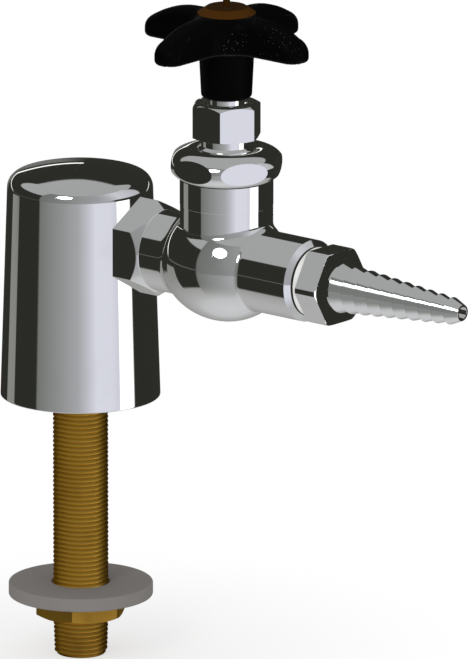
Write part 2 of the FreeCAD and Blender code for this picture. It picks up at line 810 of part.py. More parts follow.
# Handle: four rounded arms on a tapered hub.
def make_handle():
    s = size
    x = s["valve_x"]
    half = s["arm_half_width"]
    corner = half + s["arm_root_round"]
    under = s["arm_under_z"]
    height = s["arm_height"]
    tip_centre = s["handle_reach"] - half
    blanks = [
        box("arms_along_x", tip_centre * 2, half * 2, height, (x - tip_centre, -half, under)),
        box("arms_along_y", half * 2, tip_centre * 2, height, (x - half, -tip_centre, under)),
        box("arm_root", corner * 2, corner * 2, height, (x - corner, -corner, under)),
    ]
    for index, (east, north) in enumerate(((1, 0), (0, 1), (-1, 0), (0, -1))):
        blanks.append(cylinder(f"arm_tip_{index}", half, height,
                               (x + east * tip_centre, north * tip_centre, under)))
    flutes = []
    for index, (east, north) in enumerate(((1, 1), (-1, 1), (-1, -1), (1, -1))):
        flutes.append(cylinder(f"flute_{index}", s["arm_root_round"], height,
                               (x + east * corner, north * corner, under)))
    star = cut("handle_star", fuse("handle_blank", blanks), fuse("handle_flutes", flutes))
    fall = s["arm_height"] - s["arm_edge_rise"]
    out = s["handle_reach"] - s["handle_flat_r"]
    crown_r = (out * out + fall * fall) / (2 * fall)
    crown = turned("handle_crown", [
        (0, 0),
        (s["handle_reach"] - s["arm_edge_set"], 0),
        (s["handle_reach"], s["arm_edge_rise"]),
        (s["handle_flat_r"], height, crown_r),
        (0, height),
    ], (x, 0, under))
    hub = turned("handle_hub", [
        (0, 0),
        (s["hub_bottom_r"] - s["hub_round"], 0),
        (s["hub_bottom_r"], s["hub_round"]),
        (s["hub_top_r"], s["hub_length"]),
        (s["hub_top_r"], s["hub_length"] + s["arm_height"]),
        (0, s["hub_length"] + s["arm_height"]),
    ], (x, 0, s["hub_bottom_z"]))
    solid = fuse("handle_solid", [common("handle_arms", star, crown), hub])
    side = s["spindle_square"] / 2 + s["thread_gap"]
    openings = fuse("handle_openings", [
        box("handle_broach", side * 2, side * 2, s["hub_length"] + s["arm_height"],
            (x - side, -side, s["hub_bottom_z"])),
        cylinder("handle_counterbore", s["spindle_shoulder_r"] + s["thread_gap"],
                 s["hub_socket_depth"], (x, 0, s["hub_bottom_z"])),
        cylinder("handle_recess", s["recess_r"], s["recess_depth"],
                 (x, 0, s["recess_floor_z"])),
    ])
    finish(cut("handle_cut", solid, openings), "handle")


# Screw, spring washer and index button on top of the handle.
def make_handle_fixings():
    s = size
    x = s["valve_x"]
    floor_z = s["recess_floor_z"]
    washer = ring("spring_ring", s["screw_r"] + s["thread_gap"], s["lock_washer_r"],
                  s["lock_washer_thick"], (x, 0, floor_z))
    split = box("spring_split", s["lock_washer_r"] * 2, s["lock_washer_thick"] / 2,
                s["lock_washer_thick"], (x, 0, floor_z))
    finish(cut("spring_cut", washer, split), "lock_washer")
    head_z = floor_z + s["lock_washer_thick"]
    reach = s["screw_length"] - s["loose_gap"]
    screw = turned("screw_round", [
        (0, 0),
        (s["screw_r"], 0),
        (s["screw_r"], reach + s["lock_washer_thick"]),
        (s["screw_head_r"], reach + s["lock_washer_thick"]),
        (s["screw_head_r"], reach + s["lock_washer_thick"] + s["screw_head_height"]),
        (0, reach + s["lock_washer_thick"] + s["screw_head_height"]),
    ], (x, 0, floor_z - reach))
    slot = box("screw_slot", s["screw_head_r"] * 3, s["screw_slot"], s["screw_head_height"],
               (x - s["screw_head_r"] * 1.5, -s["screw_slot"] / 2, head_z + s["screw_head_height"] / 2))
    finish(cut("screw_cut", screw, slot), "handle_screw")
    plug = s["button_plug_length"]
    finish(turned("button", [
        (0, 0),
        (s["recess_r"] - s["thread_gap"], 0),
        (s["recess_r"] - s["thread_gap"], plug),
        (s["button_r"], plug),
        (s["button_top_r"], plug + s["button_height"]),
        (s["nub_r"], plug + s["button_height"]),
        (s["nub_r"], plug + s["nub_height"] + s["button_height"]),
        (0, plug + s["nub_height"] + s["button_height"]),
    ], (x, 0, s["handle_top_z"] - plug)), "index_button")


# Hose nozzle: threaded tail, hexagon and a row of saw-tooth serrations.
def make_nozzle():
    s = size
    start_x = s["barrel_end_x"] - s["outlet_socket_depth"] + s["gasket_thick"]
    face_x = s["barrel_end_x"] + s["nozzle_face_gap"]
    hex_x = face_x + s["nozzle_back_chamfer"]
    front_x = hex_x + s["nozzle_hex_length"] + s["nozzle_front_chamfer"]
    barb_x = front_x + s["nozzle_neck_length"]
    length = barb_x + s["barb_count"] * s["barb_pitch"] - start_x
    corners = [
        (s["nozzle_bore_r"], 0),
        (s["nozzle_thread_r"], 0),
        (s["nozzle_thread_r"], face_x - start_x),
        (s["nozzle_back_r"], face_x - start_x),
        (s["nozzle_back_r"], front_x - start_x),
        (s["nozzle_neck_r"], front_x - start_x),
        (s["nozzle_neck_r"], barb_x - start_x),
    ]
    count = int(SIZES["barb_count"])
    for index in range(count):
        large = s["barb_r"] - index * s["barb_shrink"]
        small = large - s["barb_shrink"] - s["barb_step"]
        if index == count - 1:
            small = s["tip_r"]
        corners.append((large, barb_x + index * s["barb_pitch"] - start_x))
        corners.append((small, barb_x + (index + 1) * s["barb_pitch"] - start_x))
    corners.append((s["tip_bore_r"], length))
    corners.append((s["tip_bore_r"], hex_x - start_x))
    corners.append((s["nozzle_bore_r"], face_x - start_x))
    round_part = turned("nozzle_round", corners, (start_x, 0, s["arm_z"]), ALONG_X)
    hex_length = front_x - face_x
    stock = hexagon("nozzle_stock", s["nozzle_flats"], hex_length, (face_x, 0, s["arm_z"]),
                    ALONG_X * TWELFTH_TURN)
    turning = turned("nozzle_turning", [
        (s["nozzle_core_r"], 0),
        (s["nozzle_back_r"], 0),
        (s["nozzle_bar_r"], s["nozzle_back_chamfer"]),
        (s["nozzle_bar_r"], hex_length - s["nozzle_front_chamfer"]),
        (s["nozzle_flats"] / 2, hex_length),
        (s["nozzle_core_r"], hex_length),
    ], (face_x, 0, s["arm_z"]), ALONG_X)
    hex_part = common("nozzle_hex", stock, turning)
    finish(fuse("nozzle_solid", [round_part, hex_part]), "hose_nozzle")
    seal = ring("nozzle_ring", s["nozzle_thread_r"] + s["thread_gap"],
                s["arm_r"] - s["barrel_chamfer_depth"] - s["gasket_thick"], s["nozzle_face_gap"],
                (s["barrel_end_x"], 0, s["arm_z"]), ALONG_X)
    finish(seal, "nozzle_seal")


make_turret()
make_shank()
make_deck_hardware()
make_nipple()
make_valve_body()
make_seat_and_needle()
make_bonnet()
make_cap_nut()
make_packing()
make_spindle()
make_handle()
make_handle_fixings()
make_nozzle()
doc.recompute()

for thing in doc.Objects:
    if "Invalid" in thing.State or "Error" in thing.State:
        raise RuntimeError(f"{thing.Name} is {thing.State}")
for thing in nodes:
    if thing.Shape.isNull() or not thing.Shape.isValid():
        raise RuntimeError(f"{thing.Label} has no valid shape")

os.makedirs("parts", exist_ok=True)
for thing in nodes:
    thing.Shape.exportStep(f"parts/{thing.Label}.step")
    print(thing.Label, len(thing.Shape.Solids), round(thing.Shape.Volume, 3))
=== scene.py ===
import math

import bpy
import numpy as np
from mathutils import Matrix, Vector


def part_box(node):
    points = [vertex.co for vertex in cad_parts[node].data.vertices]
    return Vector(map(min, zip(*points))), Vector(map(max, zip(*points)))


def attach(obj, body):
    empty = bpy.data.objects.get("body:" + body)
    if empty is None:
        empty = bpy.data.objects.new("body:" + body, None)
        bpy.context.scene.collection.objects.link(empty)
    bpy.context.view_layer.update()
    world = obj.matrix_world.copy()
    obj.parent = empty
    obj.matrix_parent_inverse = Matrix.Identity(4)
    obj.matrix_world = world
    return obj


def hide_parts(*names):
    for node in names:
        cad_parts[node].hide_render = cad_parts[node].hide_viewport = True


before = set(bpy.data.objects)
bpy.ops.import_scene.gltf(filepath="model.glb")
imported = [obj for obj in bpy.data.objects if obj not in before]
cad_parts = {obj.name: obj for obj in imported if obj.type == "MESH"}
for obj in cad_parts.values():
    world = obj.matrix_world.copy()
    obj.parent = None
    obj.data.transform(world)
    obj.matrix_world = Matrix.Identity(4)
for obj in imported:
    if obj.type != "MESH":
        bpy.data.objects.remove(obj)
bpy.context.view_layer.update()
print("frame loaded")

mm = 0.001
xAxis = (1, 0, 0)
zAxis = (0, 0, 1)


# Settings of a piece: lengths are given in millimetres and kept in metres.
def lengths(**given):
    return {name: value * mm for name, value in given.items()}


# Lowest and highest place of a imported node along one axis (0, 1 or 2).
def spanOf(node, axis):
    low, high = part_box(node)
    return low[axis], high[axis]


hubDrop = 1.26 * mm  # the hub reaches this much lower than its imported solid
buttonRise = 28.36 * mm  # the button's flat top over the hub's foot

inletFace, barrelEnd = spanOf("valve_body", 0)
valveX = sum(spanOf("handle", 0)) / 2
armZ = sum(spanOf("hose_nozzle", 2)) / 2
floorZ = spanOf("supply_shank", 2)[0]
neckTop = spanOf("valve_body", 2)[1]
hubFoot = spanOf("handle", 2)[0] - hubDrop
buttonTop = hubFoot + buttonRise
stemPlace = (valveX, 0, 0)
armTurning = (0, 0, armZ), xAxis, 120  # centre, axis and steps of what is turned round the arm


# Camera: a long lens from the photograph's side. Turn and rise are in degrees.
camera = {"turn": 40.3, "rise": 14.7, "lens": 1150, "sensor": 36, "clipEnd": 100, "tall": 202.2 * mm,
          "aim": (32.7 * mm, 34.5 * mm, 18.9 * mm)}


def directionOf(turn, rise):
    turn = math.radians(turn)
    rise = math.radians(rise)
    level = math.cos(rise)
    return Vector((math.sin(turn) * level, -math.cos(turn) * level, math.sin(rise)))


# Puts a camera or a lamp on a spot, turned back against the way given.
def placeObject(name, data, spot, away):
    made = bpy.data.objects.new(name, data)
    bpy.context.scene.collection.objects.link(made)
    made.location = spot
    made.rotation_euler = away.to_track_quat("Z", "Y").to_euler()
    return made


def makeCamera():
    data = bpy.data.cameras.new("camera")
    data.lens = camera["lens"]
    data.sensor_width = camera["sensor"]
    data.clip_end = camera["clipEnd"]
    away = directionOf(camera["turn"], camera["rise"])
    spot = Vector(camera["aim"]) + away * camera["tall"] * camera["lens"] / camera["sensor"]
    bpy.context.scene.camera = placeObject("camera", data, spot, away)


# One output of a shader node. Sums and products of outputs become Math nodes.
class Signal:
    def __init__(self, graph, socket):
        self.graph = graph
        self.socket = socket

    def maths(self, operation, first, second=0.0):
        return self.graph.node("ShaderNodeMath", {"operation": operation}, {0: first, 1: second})

    def __add__(self, other):
        return self.maths("ADD", self, other)

    def __sub__(self, other):
        return self.maths("SUBTRACT", self, other)

    def __mul__(self, other):
        return self.maths("MULTIPLY", self, other)

    def __truediv__(self, other):
        return self.maths("DIVIDE", self, other)

    def __rsub__(self, other):
        return self.maths("SUBTRACT", other, self)

    def __gt__(self, other):
        return self.maths("GREATER_THAN", self, other)

    __radd__ = __add__
    __rmul__ = __mul__

    # 0 below the first value, 1 above the second, with a soft step between
    def step(self, low, high):
        settings = {"interpolation_type": "SMOOTHSTEP"}
        values = {0: self, 1: low, 2: high, 3: 0.0, 4: 1.0}
        return self.graph.node("ShaderNodeMapRange", settings, values)

    # 1 between two places, with soft edges
    def between(self, low, high, soft):
        return self.step(low - soft, low + soft) * (1 - self.step(high - soft, high + soft))


# The node tree of a material or of the world.
class Graph:
    def __init__(self, tree):
        self.tree = tree

    def node(self, kind, settings=None, values=None, output=0):
        made = self.tree.nodes.new(kind)
        for name, value in (settings or {}).items():
            if name == "stops":
                self.fillRamp(made.color_ramp, value)
            else:
                setattr(made, name, value)
        for name, value in (values or {}).items():
            self.feed(made.inputs[name], value)
        return Signal(self, made.outputs[output])

    def feed(self, socket, value):
        if isinstance(value, Signal):
            self.tree.links.new(value.socket, socket)
        elif socket.type == "RGBA":
            socket.default_value = (*value[:3], 1)
        else:
            socket.default_value = value

    def fillRamp(self, ramp, stops):
        while len(ramp.elements) < len(stops):
            ramp.elements.new(0.5)
        for element, (place, colour) in zip(ramp.elements, stops):
            element.position = place
            element.color = (*colour[:3], 1)

    def blend(self, amount, low, high):
        return self.node("ShaderNodeMix", {"data_type": "RGBA"}, {0: amount, 6: low, 7: high}, 2)

    def place(self):
        return self.node("ShaderNodeTexCoord", output="Object")

    def noise(self, place, scale, detail=3.0, rough=0.5, output=0):
        values = {"Vector": place, "Scale": scale, "Detail": detail, "Roughness": rough}
        return self.node("ShaderNodeTexNoise", None, values, output)

    def parts(self, vector):
        made = self.tree.nodes.new("ShaderNodeSeparateXYZ")
        self.feed(made.inputs[0], vector)
        return [Signal(self, socket) for socket in made.outputs]

    # distance from the upright axis
    def reach(self, place):
        x, y, _ = self.parts(place)
        square = x * x + y * y
        return square.maths("SQRT", square)

    def bump(self, height, strength, depth):
        return self.node("ShaderNodeBump", None, {"Height": height, "Strength": strength, "Distance": depth})

    def dress(self, sockets, colour, rough, height, strength, depth):
        self.feed(sockets["Base Color"], colour)
        self.feed(sockets["Roughness"], rough)
        self.feed(sockets["Normal"], self.bump(height, strength, depth))


# A new material with its shader's fixed values; the graph feeds the rest.
def startFinish(name, **fixed):
    material = bpy.data.materials.new(name)
    material.use_nodes = True
    shader = material.node_tree.nodes["Principled BSDF"]
    for socket, value in fixed.items():
        shader.inputs[socket.replace("_", " ")].default_value = value
    return material, Graph(material.node_tree), shader.inputs


# Studio: a white background, a pale floor, walls that only metal sees, a soft lamp and a fill.
studio = {"wallReach": 30.0, "ambient": 0.80, "floorReach": 0.42, "floorDrop": 0.05 * mm, "floorGrain": 40,
          "floorColour": (0.93, 0.93, 0.93), "floorDeep": 0.95, "floorGlow": 0.6, "glowReach": (0.03, 0.13)}
# Turn from the camera and rise in degrees, then distance, width, height and power.
lamps = {
    "soft_lamp": {"turn": -28.5, "rise": 34, "reach": 1.8, "wide": 0.74, "tall": 0.62, "watts": 6.5},
    "fill_lamp": {"turn": 30, "rise": 4, "reach": 1.2, "wide": 0.5, "tall": 0.5, "watts": 2.3},
}
dark = (0.031, 0.031, 0.026)
# Colours round the walls by angle from the camera, in degrees: high up, level, and low down.
wallHigh = [
    (-180, dark), (-66.5, dark), (-65.5, (0.20, 0.205, 0.20)), (-36, (0.245, 0.25, 0.25)),
    (-12, (0.32, 0.33, 0.33)), (6, (0.37, 0.37, 0.38)), (30, (0.41, 0.41, 0.43)), (48, (0.54, 0.54, 0.58)),
    (66, (0.75, 0.75, 0.82)), (84, (0.68, 0.68, 0.74)), (107, (0.58, 0.58, 0.61)), (109, dark), (180, dark),
]
wallLevel = [
    (-180, dark), (-66.5, dark), (-65.5, (0.19, 0.195, 0.19)), (-48, (0.23, 0.235, 0.23)),
    (-30, (0.26, 0.265, 0.26)), (-12, (0.31, 0.32, 0.32)), (6, (0.37, 0.37, 0.38)), (24, (0.43, 0.43, 0.46)),
    (42, (0.47, 0.47, 0.51)), (52, (0.38, 0.38, 0.40)), (58, dark), (180, dark),
]
wallLow = [
    (-180, dark), (-66.5, dark), (-65.5, (0.21, 0.22, 0.21)), (-30, (0.35, 0.36, 0.36)),
    (-3, (0.48, 0.48, 0.51)), (12, (0.68, 0.68, 0.76)), (24, (0.88, 0.88, 1.00)), (48, (0.87, 0.87, 0.99)),
    (59.5, (0.78, 0.78, 0.88)), (60.5, (1.7, 1.7, 1.7)), (84, (1.7, 1.7, 1.7)), (85, dark), (180, dark),
]
# Edge of the ceiling, edge of the floor and softness of the floor's edge, in degrees of rise.
wallEdges = [
    (-180, (38, 17, 3)), (-150, (36, 17, 3)), (-133, (30, 17, 3)), (-131.5, (29, 11, 1.5)),
    (-110, (29, 11, 1.5)), (-108, (30, 33, 4)), (-66, (30, 33, 4)), (-65, (52, 24, 30)), (60, (52, 24, 30)),
    (108, (52, 40, 4)), (109, (43, 41, 4)), (160, (43, 36, 4)), (180, (38, 17, 3)),
]
ceilingColour = (0.46, 0.465, 0.47)
groundRise = [(-90, (0.76, 0.76, 0.79)), (-61, (0.67, 0.67, 0.69)), (-52, (0.54, 0.54, 0.545)),
              (-42, (0.46, 0.46, 0.46)), (-26, (0.34, 0.34, 0.33)), (-12, (0.30, 0.30, 0.285))]
windowColour = (1.6, 1.6, 1.55)
# Shapes on the walls: turn and rise as from, to and softness, in degrees.
wallLine = {"turn": (-124, -67, 2), "rise": (-6.5, -5, 0.4), "colour": (0.14, 0.14, 0.13)}
wallStrip = {"turn": (-41.9, -40.9, 0.2), "rise": (24, 31, 0.4), "colour": windowColour}
wallWindow = {"turn": (-179, -157, 1.5), "rise": (-12, 7, 1.5), "colour": (0.18, 0.18, 0.175)}


def makeWorld():
    world = bpy.data.worlds.new("studio_world")
    world.use_nodes = True
    bpy.context.scene.world = world
    graph = Graph(world.node_tree)
    seen = graph.node("ShaderNodeLightPath", output="Is Camera Ray")
    for ray in ("Is Glossy Ray", "Is Transmission Ray"):
        seen = seen + graph.node("ShaderNodeLightPath", output=ray)
    background = world.node_tree.nodes["Background"].inputs
    background["Color"].default_value = (1, 1, 1, 1)
    ambient = studio["ambient"]
    graph.feed(background["Strength"], ambient + seen.step(0.0, 0.5) * (1 - ambient))


# Colour of the walls in one direction: turn is counted from the camera, rise from the horizon.
def paintWalls(graph):
    x, y, z = graph.parts(graph.node("ShaderNodeVectorMath", {"operation": "NORMALIZE"}, {0: graph.place()}))
    turn = math.radians(camera["turn"])
    right = x * math.cos(turn) + y * math.sin(turn)
    near = x * math.sin(turn) - y * math.cos(turn)
    angle = right.maths("ARCTAN2", right, near) * math.degrees(1)
    rise = z.maths("ARCSINE", z) * math.degrees(1)
    around = (angle + 180) / 360

    def ramp(place, low, high, stops):
        spread = [((value - low) / (high - low), colour) for value, colour in stops]
        return graph.node("ShaderNodeValToRGB", {"stops": spread}, {0: place})

    def paint(wall, shape):
        inside = angle.between(*shape["turn"]) * rise.between(*shape["rise"])
        return graph.blend(inside, wall, shape["colour"])

    # a ramp holds degrees of rise as parts of a right angle
    edges = [(value, [degrees / 90 for degrees in three]) for value, three in wallEdges]
    ceilingEdge, groundEdge, groundSoft = graph.parts(ramp(around, -180, 180, edges))
    wall = graph.blend(rise.step(2, 6), ramp(around, -180, 180, wallLevel), ramp(around, -180, 180, wallHigh))
    wall = graph.blend(rise.step(-10.5, -8.5), ramp(around, -180, 180, wallLow), wall)
    wall = paint(paint(wall, wallLine), wallStrip)
    # a bright arc on the wall opposite the camera
    behind = (angle.maths("ABSOLUTE", angle) - 180) * 0.1
    arc = rise + behind * behind * 0.6 - 12.2
    lit = behind.step(-5.5, -4.5) * (1 - angle.between(150, 185, 3))
    wall = graph.blend(arc.between(-1.0, 1.0, 0.4) * lit, wall, windowColour)
    wall = paint(wall, wallWindow)
    wall = graph.blend((rise - ceilingEdge * 90).step(-1, 1), wall, ceilingColour)
    ground = ramp((rise + 90) / 90, -90, 0, groundRise)
    below = ((0 - rise - groundEdge * 90) / (groundSoft * 90)).step(0.0, 1.0)
    return graph.blend(below, wall, ground)


# A material whose graph feeds the surface itself.
def startSurface(name):
    material = bpy.data.materials.new(name)
    material.use_nodes = True
    tree = material.node_tree
    tree.nodes.remove(tree.nodes["Principled BSDF"])
    return material, Graph(tree), tree.nodes["Material Output"].inputs["Surface"]


def makeStudio():
    bpy.ops.mesh.primitive_uv_sphere_add(segments=64, ring_count=32, radius=studio["wallReach"])
    walls = bpy.context.object
    walls.name = "studio_walls"
    for ray in ("camera", "diffuse", "transmission", "volume_scatter", "shadow"):
        setattr(walls, f"visible_{ray}", False)
    material, graph, surface = startSurface("studio_walls")
    material.cycles.emission_sampling = "NONE"
    graph.feed(surface, graph.node("ShaderNodeEmission", None, {"Color": paintWalls(graph)}))
    walls.data.materials.append(material)


def makeFloor():
    bpy.ops.mesh.primitive_circle_add(vertices=128, radius=studio["floorReach"], fill_type="NGON",
                                      location=(0, 0, floorZ - studio["floorDrop"]))
    floor = bpy.context.object
    floor.name = "floor"
    bpy.ops.object.transform_apply(location=True)
    material, graph, surface = startSurface("floor")
    place = graph.place()
    light = studio["floorColour"]
    deep = [value * studio["floorDeep"] for value in light]
    matt = graph.node("ShaderNodeBsdfDiffuse", None,
                      {"Color": graph.blend(graph.noise(place, studio["floorGrain"]) * 0.2, light, deep)})
    # the camera sees the floor brighten to white away from the shank
    low = studio["floorGlow"]
    lift = low + graph.reach(place).step(*studio["glowReach"]) * (1 - low)
    seen = graph.node("ShaderNodeLightPath", output="Is Camera Ray")
    glow = graph.node("ShaderNodeEmission", None, {"Color": (1, 1, 1)})
    graph.feed(surface, graph.node("ShaderNodeMixShader", None, {0: seen * lift, 1: matt, 2: glow}))
    floor.data.materials.append(material)
    floor.visible_glossy = False


def makeLamp(name, turn, rise, reach, wide, tall, watts):
    data = bpy.data.lights.new(name, "AREA")
    data.shape = "ELLIPSE"
    data.size = wide
    data.size_y = tall
    data.energy = watts
    away = directionOf(camera["turn"] + turn, rise)
    made = placeObject(name, data, Vector((valveX, 0, armZ)) + away * reach, away)
    made.visible_camera = False
    made.visible_glossy = name != "fill_lamp"  # the fill lights the matt pieces only


makeCamera()
makeWorld()
makeStudio()
makeFloor()
for lampName, lamp in lamps.items():
    makeLamp(lampName, **lamp)
bpy.context.scene.view_settings.view_transform = "Standard"
print("camera and studio placed")


# Finishes
chromeLook = {"colour": (0.76, 0.77, 0.755), "dull": (0.62, 0.63, 0.61), "cloud": 45, "swirl": 900,
              "rough": 0.035, "wave": 0.10, "platedRough": 0.12, "platedWave": 0.3, "depth": 0.02 * mm}


# Polished plating: nearly a mirror, with faint clouding, polish swirls and dulled patches.
def makeChrome(name, rough, wave):
    material, graph, sockets = startFinish(name, Metallic=1.0)
    place = graph.place()
    cloud = graph.noise(place, chromeLook["cloud"], 4.0)
    swirl = graph.noise(place, chromeLook["swirl"], 2.0)
    worn = cloud.step(0.56, 0.80)
    colour = graph.blend(worn * 0.35, chromeLook["colour"], chromeLook["dull"])
    graph.dress(sockets, colour, rough + worn * 0.05 + swirl * 0.015, cloud * 0.6 + swirl * 0.05, wave,
                chromeLook["depth"])
    return material


# Lathe marks: a noise drawn out round the upright axis.
def latheMarks(graph, place, stretch, detail):
    stretched = graph.node("ShaderNodeVectorMath", {"operation": "MULTIPLY"}, {0: place, 1: stretch})
    return graph.noise(stretched, 1.0, detail)


brassLook = {"bright": (0.53, 0.31, 0.047), "brown": (0.20, 0.105, 0.018), "tint": (0.45, 0.24, 0.04, 1),
             "rough": 0.52, "threadRough": 0.32, "threadLow": 7.65 * mm, "threadHigh": 8.5 * mm, "cloud": 70,
             "lathe": (60, 60, 5200), "depth": 0.05 * mm}


# Bare machined brass: stains, lathe marks round the axis, and painted shade that turns the valleys of the
# thread brown.
def makeBrass(name, threaded):
    material, graph, sockets = startFinish(name, Metallic=1.0, Specular_Tint=brassLook["tint"])
    place = graph.place()
    cloud = graph.noise(place, brassLook["cloud"], 5.0)
    marks = latheMarks(graph, place, brassLook["lathe"], 2.0)
    stainAndValleyShade = cloud.step(0.40, 0.75) * 0.5
    if threaded:
        # painted shade: the thread's valleys are coloured brown for the shade between its flanks
        valley = 1 - graph.reach(place).step(brassLook["threadLow"], brassLook["threadHigh"])
        stainAndValleyShade = stainAndValleyShade * 0.7 + valley * 0.55
    colour = graph.blend(stainAndValleyShade, brassLook["bright"], brassLook["brown"])
    rough = brassLook["threadRough" if threaded else "rough"]
    graph.dress(sockets, colour, rough + cloud * 0.12, marks + cloud * 0.5, 0.25, brassLook["depth"])
    return material


steelLook = {"bright": (0.55, 0.55, 0.57), "deep": (0.38, 0.38, 0.40), "rough": 0.22, "lathe": (80, 80, 6000),
             "depth": 0.04 * mm}


# Bright turned steel for the inner pieces.
def makeSteel():
    material, graph, sockets = startFinish("turned_steel", Metallic=1.0)
    marks = latheMarks(graph, graph.place(), steelLook["lathe"], 3.0)
    colour = graph.blend(marks, steelLook["bright"], steelLook["deep"])
    graph.dress(sockets, colour, steelLook["rough"] + marks * 0.15, marks, 0.2, steelLook["depth"])
    return material


mouldedLooks = {
    "grey_rubber": {"name": "washer_grey", "light": (0.222, 0.210, 0.200), "deep": (0.178, 0.168, 0.160),
                    "rough": 0.68, "grain": 1400, "depth": 0.05 * mm, "gloss": 0.2},
    "black_rubber": {"name": "seal_black", "light": (0.010, 0.010, 0.010), "deep": (0.004, 0.004, 0.004),
                     "rough": 0.6, "grain": 1800, "depth": 0.05 * mm, "gloss": 0.2},
    "fibre": {"name": "red_fibre", "light": (0.30, 0.06, 0.04), "deep": (0.18, 0.03, 0.02),
              "rough": 0.6, "grain": 900, "depth": 0.05 * mm},
    "packing": {"name": "white_packing", "light": (0.90, 0.90, 0.89), "deep": (0.80, 0.80, 0.78),
                "rough": 0.5, "grain": 1500, "depth": 0.04 * mm},
    # the amber button's "top" colour is a painted shade for its flat top
    "amber_plastic": {"name": "button_amber", "light": (0.069, 0.026, 0.0026),
                      "deep": (0.043, 0.0155, 0.0014), "top": (0.031, 0.0115, 0.0011), "rough": 0.50,
                      "grain": 1600, "depth": 0.03 * mm, "gloss": 0.02},
}


# Soft and moulded materials: two colours mottled together, with a fine grain.
def makeMoulded(name, light, deep, rough, grain, depth, gloss=0.5, top=None):
    material, graph, sockets = startFinish(name, Specular_IOR_Level=gloss)
    place = graph.place()
    cloud = graph.noise(place, 90, 4.0)
    fine = graph.noise(place, grain, 3.0)
    colour = graph.blend(cloud * 0.7 + fine * 0.3, light, deep)
    if top:  # painted shade: the button's colour is darker on its flat top
        flat = graph.parts(place)[2].step(buttonTop - 0.35 * mm, buttonTop - 0.1 * mm)
        colour = graph.blend(flat, colour, top)
    graph.dress(sockets, colour, rough + fine * 0.12 - cloud * 0.06, fine + cloud * 0.4, 0.35, depth)
    return material


blackLook = {"deep": (0.0008, 0.0008, 0.0009), "paintedGlint": (0.16, 0.16, 0.155), "gloss": 0.03, "rough": 0.46,
             "grain": 2600, "cloud": 60, "cells": 2400, "rarity": 0.88, "glintSideX": (2 * mm, 9 * mm),
             "glintSideZ": (15 * mm, 17 * mm), "depth": 0.06 * mm}


# Black moulded handle: deep black, a fine grain, and rare bright specks painted in as glints, more of them to
# one side.
def makeHandleBlack():
    material, graph, sockets = startFinish("handle_black", Specular_IOR_Level=blackLook["gloss"])
    place = graph.place()
    grain = graph.noise(place, blackLook["grain"], 2.0)
    cloud = graph.noise(place, blackLook["cloud"], 4.0)
    cells = graph.node("ShaderNodeTexVoronoi", None, {"Vector": place, "Scale": blackLook["cells"]})
    middle = 1 - cells.step(0.10, 0.30)
    chance = graph.parts(Signal(graph, cells.socket.node.outputs["Color"]))[0] > blackLook["rarity"]
    x, _, z = graph.parts(place)
    side = x.step(*[valveX + value for value in blackLook["glintSideX"]])
    side = side * z.step(*[hubFoot + value for value in blackLook["glintSideZ"]])
    # painted glints: the specks' bright colour stands in for light glinting off the grain, with more of them
    # towards +x and higher up
    paintedGlint = middle * chance * (cloud + side * 0.20).step(0.60, 0.70)
    colour = graph.blend(paintedGlint, blackLook["deep"], blackLook["paintedGlint"])
    rough = blackLook["rough"] + grain * 0.14 - cloud * 0.06
    graph.dress(sockets, colour, rough, grain + cloud * 0.5, 0.4, blackLook["depth"])
    return material


def makeFinishes():
    made = {
        "chrome": makeChrome("chrome", chromeLook["rough"], chromeLook["wave"]),
        "plated_brass": makeChrome("plated_brass", chromeLook["platedRough"], chromeLook["platedWave"]),
        "thread": makeBrass("threaded_brass", True),
        "brass": makeBrass("brass", False),
        "steel": makeSteel(),
        "black_plastic": makeHandleBlack(),
    }
    for slot, look in mouldedLooks.items():
        made[slot] = makeMoulded(**look)
    return made


finishes = makeFinishes()
print("finishes made")


# Modelling helpers
def deselectAll():
    bpy.ops.object.select_all(action="DESELECT")


def setMode(mode):
    bpy.ops.object.mode_set(mode=mode)


def pick(piece):
    deselectAll()
    piece.select_set(True)
    bpy.context.view_layer.objects.active = piece


def modify(piece, kind, **settings):
    pick(piece)
    made = piece.modifiers.new(kind.lower(), kind)
    for name, value in settings.items():
        setattr(made, name, value)
    bpy.ops.object.modifier_apply(modifier=made.name)


def carve(piece, tool, operation="DIFFERENCE"):
    modify(piece, "BOOLEAN", operation=operation, object=tool, solver="EXACT")
    bpy.data.objects.remove(tool)
    return piece


# Merges doubles and turns the faces outwards.
def cleanMesh(piece, gap=0.002 * mm):
    pick(piece)
    setMode("EDIT")
    bpy.ops.mesh.select_all(action="SELECT")
    bpy.ops.mesh.remove_doubles(threshold=gap)
    bpy.ops.mesh.normals_make_consistent(inside=False)
    setMode("OBJECT")


# Swaps a corner for an arc of the given radius: corners are (radius, along[, rounding]).
def roundCorners(corners, closed=True, turn=15):
    points = []
    count = len(corners)
    for index, corner in enumerate(corners):
        here = Vector(corner[:2])
        atEnd = not closed and index in (0, count - 1)
        if len(corner) == 2 or atEnd:
            points.append(here)
            continue
        before = (Vector(corners[index - 1][:2]) - here).normalized()
        after = (Vector(corners[(index + 1) % count][:2]) - here).normalized()
        half = before.angle(after) / 2
        reach = corner[2] / math.tan(half)
        middle = here + (before + after).normalized() * corner[2] / math.sin(half)
        start = here + before * reach - middle
        sweep = math.pi - 2 * half
        side = 1 if start.cross(here + after * reach - middle) > 0 else -1
        steps = max(2, math.ceil(math.degrees(sweep) / turn))
        for step in range(steps + 1):
            points.append(middle + Matrix.Rotation(side * sweep * step / steps, 2) @ start)
    return points


# A chain of edges through the given points, left in edit mode.
def drawChain(name, spots):
    deselectAll()
    bpy.ops.mesh.primitive_plane_add(size=mm, location=spots[0])
    piece = bpy.context.object
    piece.name = name
    bpy.ops.object.transform_apply(location=True)
    setMode("EDIT")
    bpy.ops.mesh.select_mode(type="VERT")
    bpy.ops.mesh.merge(type="CENTER")
    for here, there in zip(spots, spots[1:]):
        bpy.ops.mesh.extrude_region_move(TRANSFORM_OT_translate={"value": there - here})
    return piece


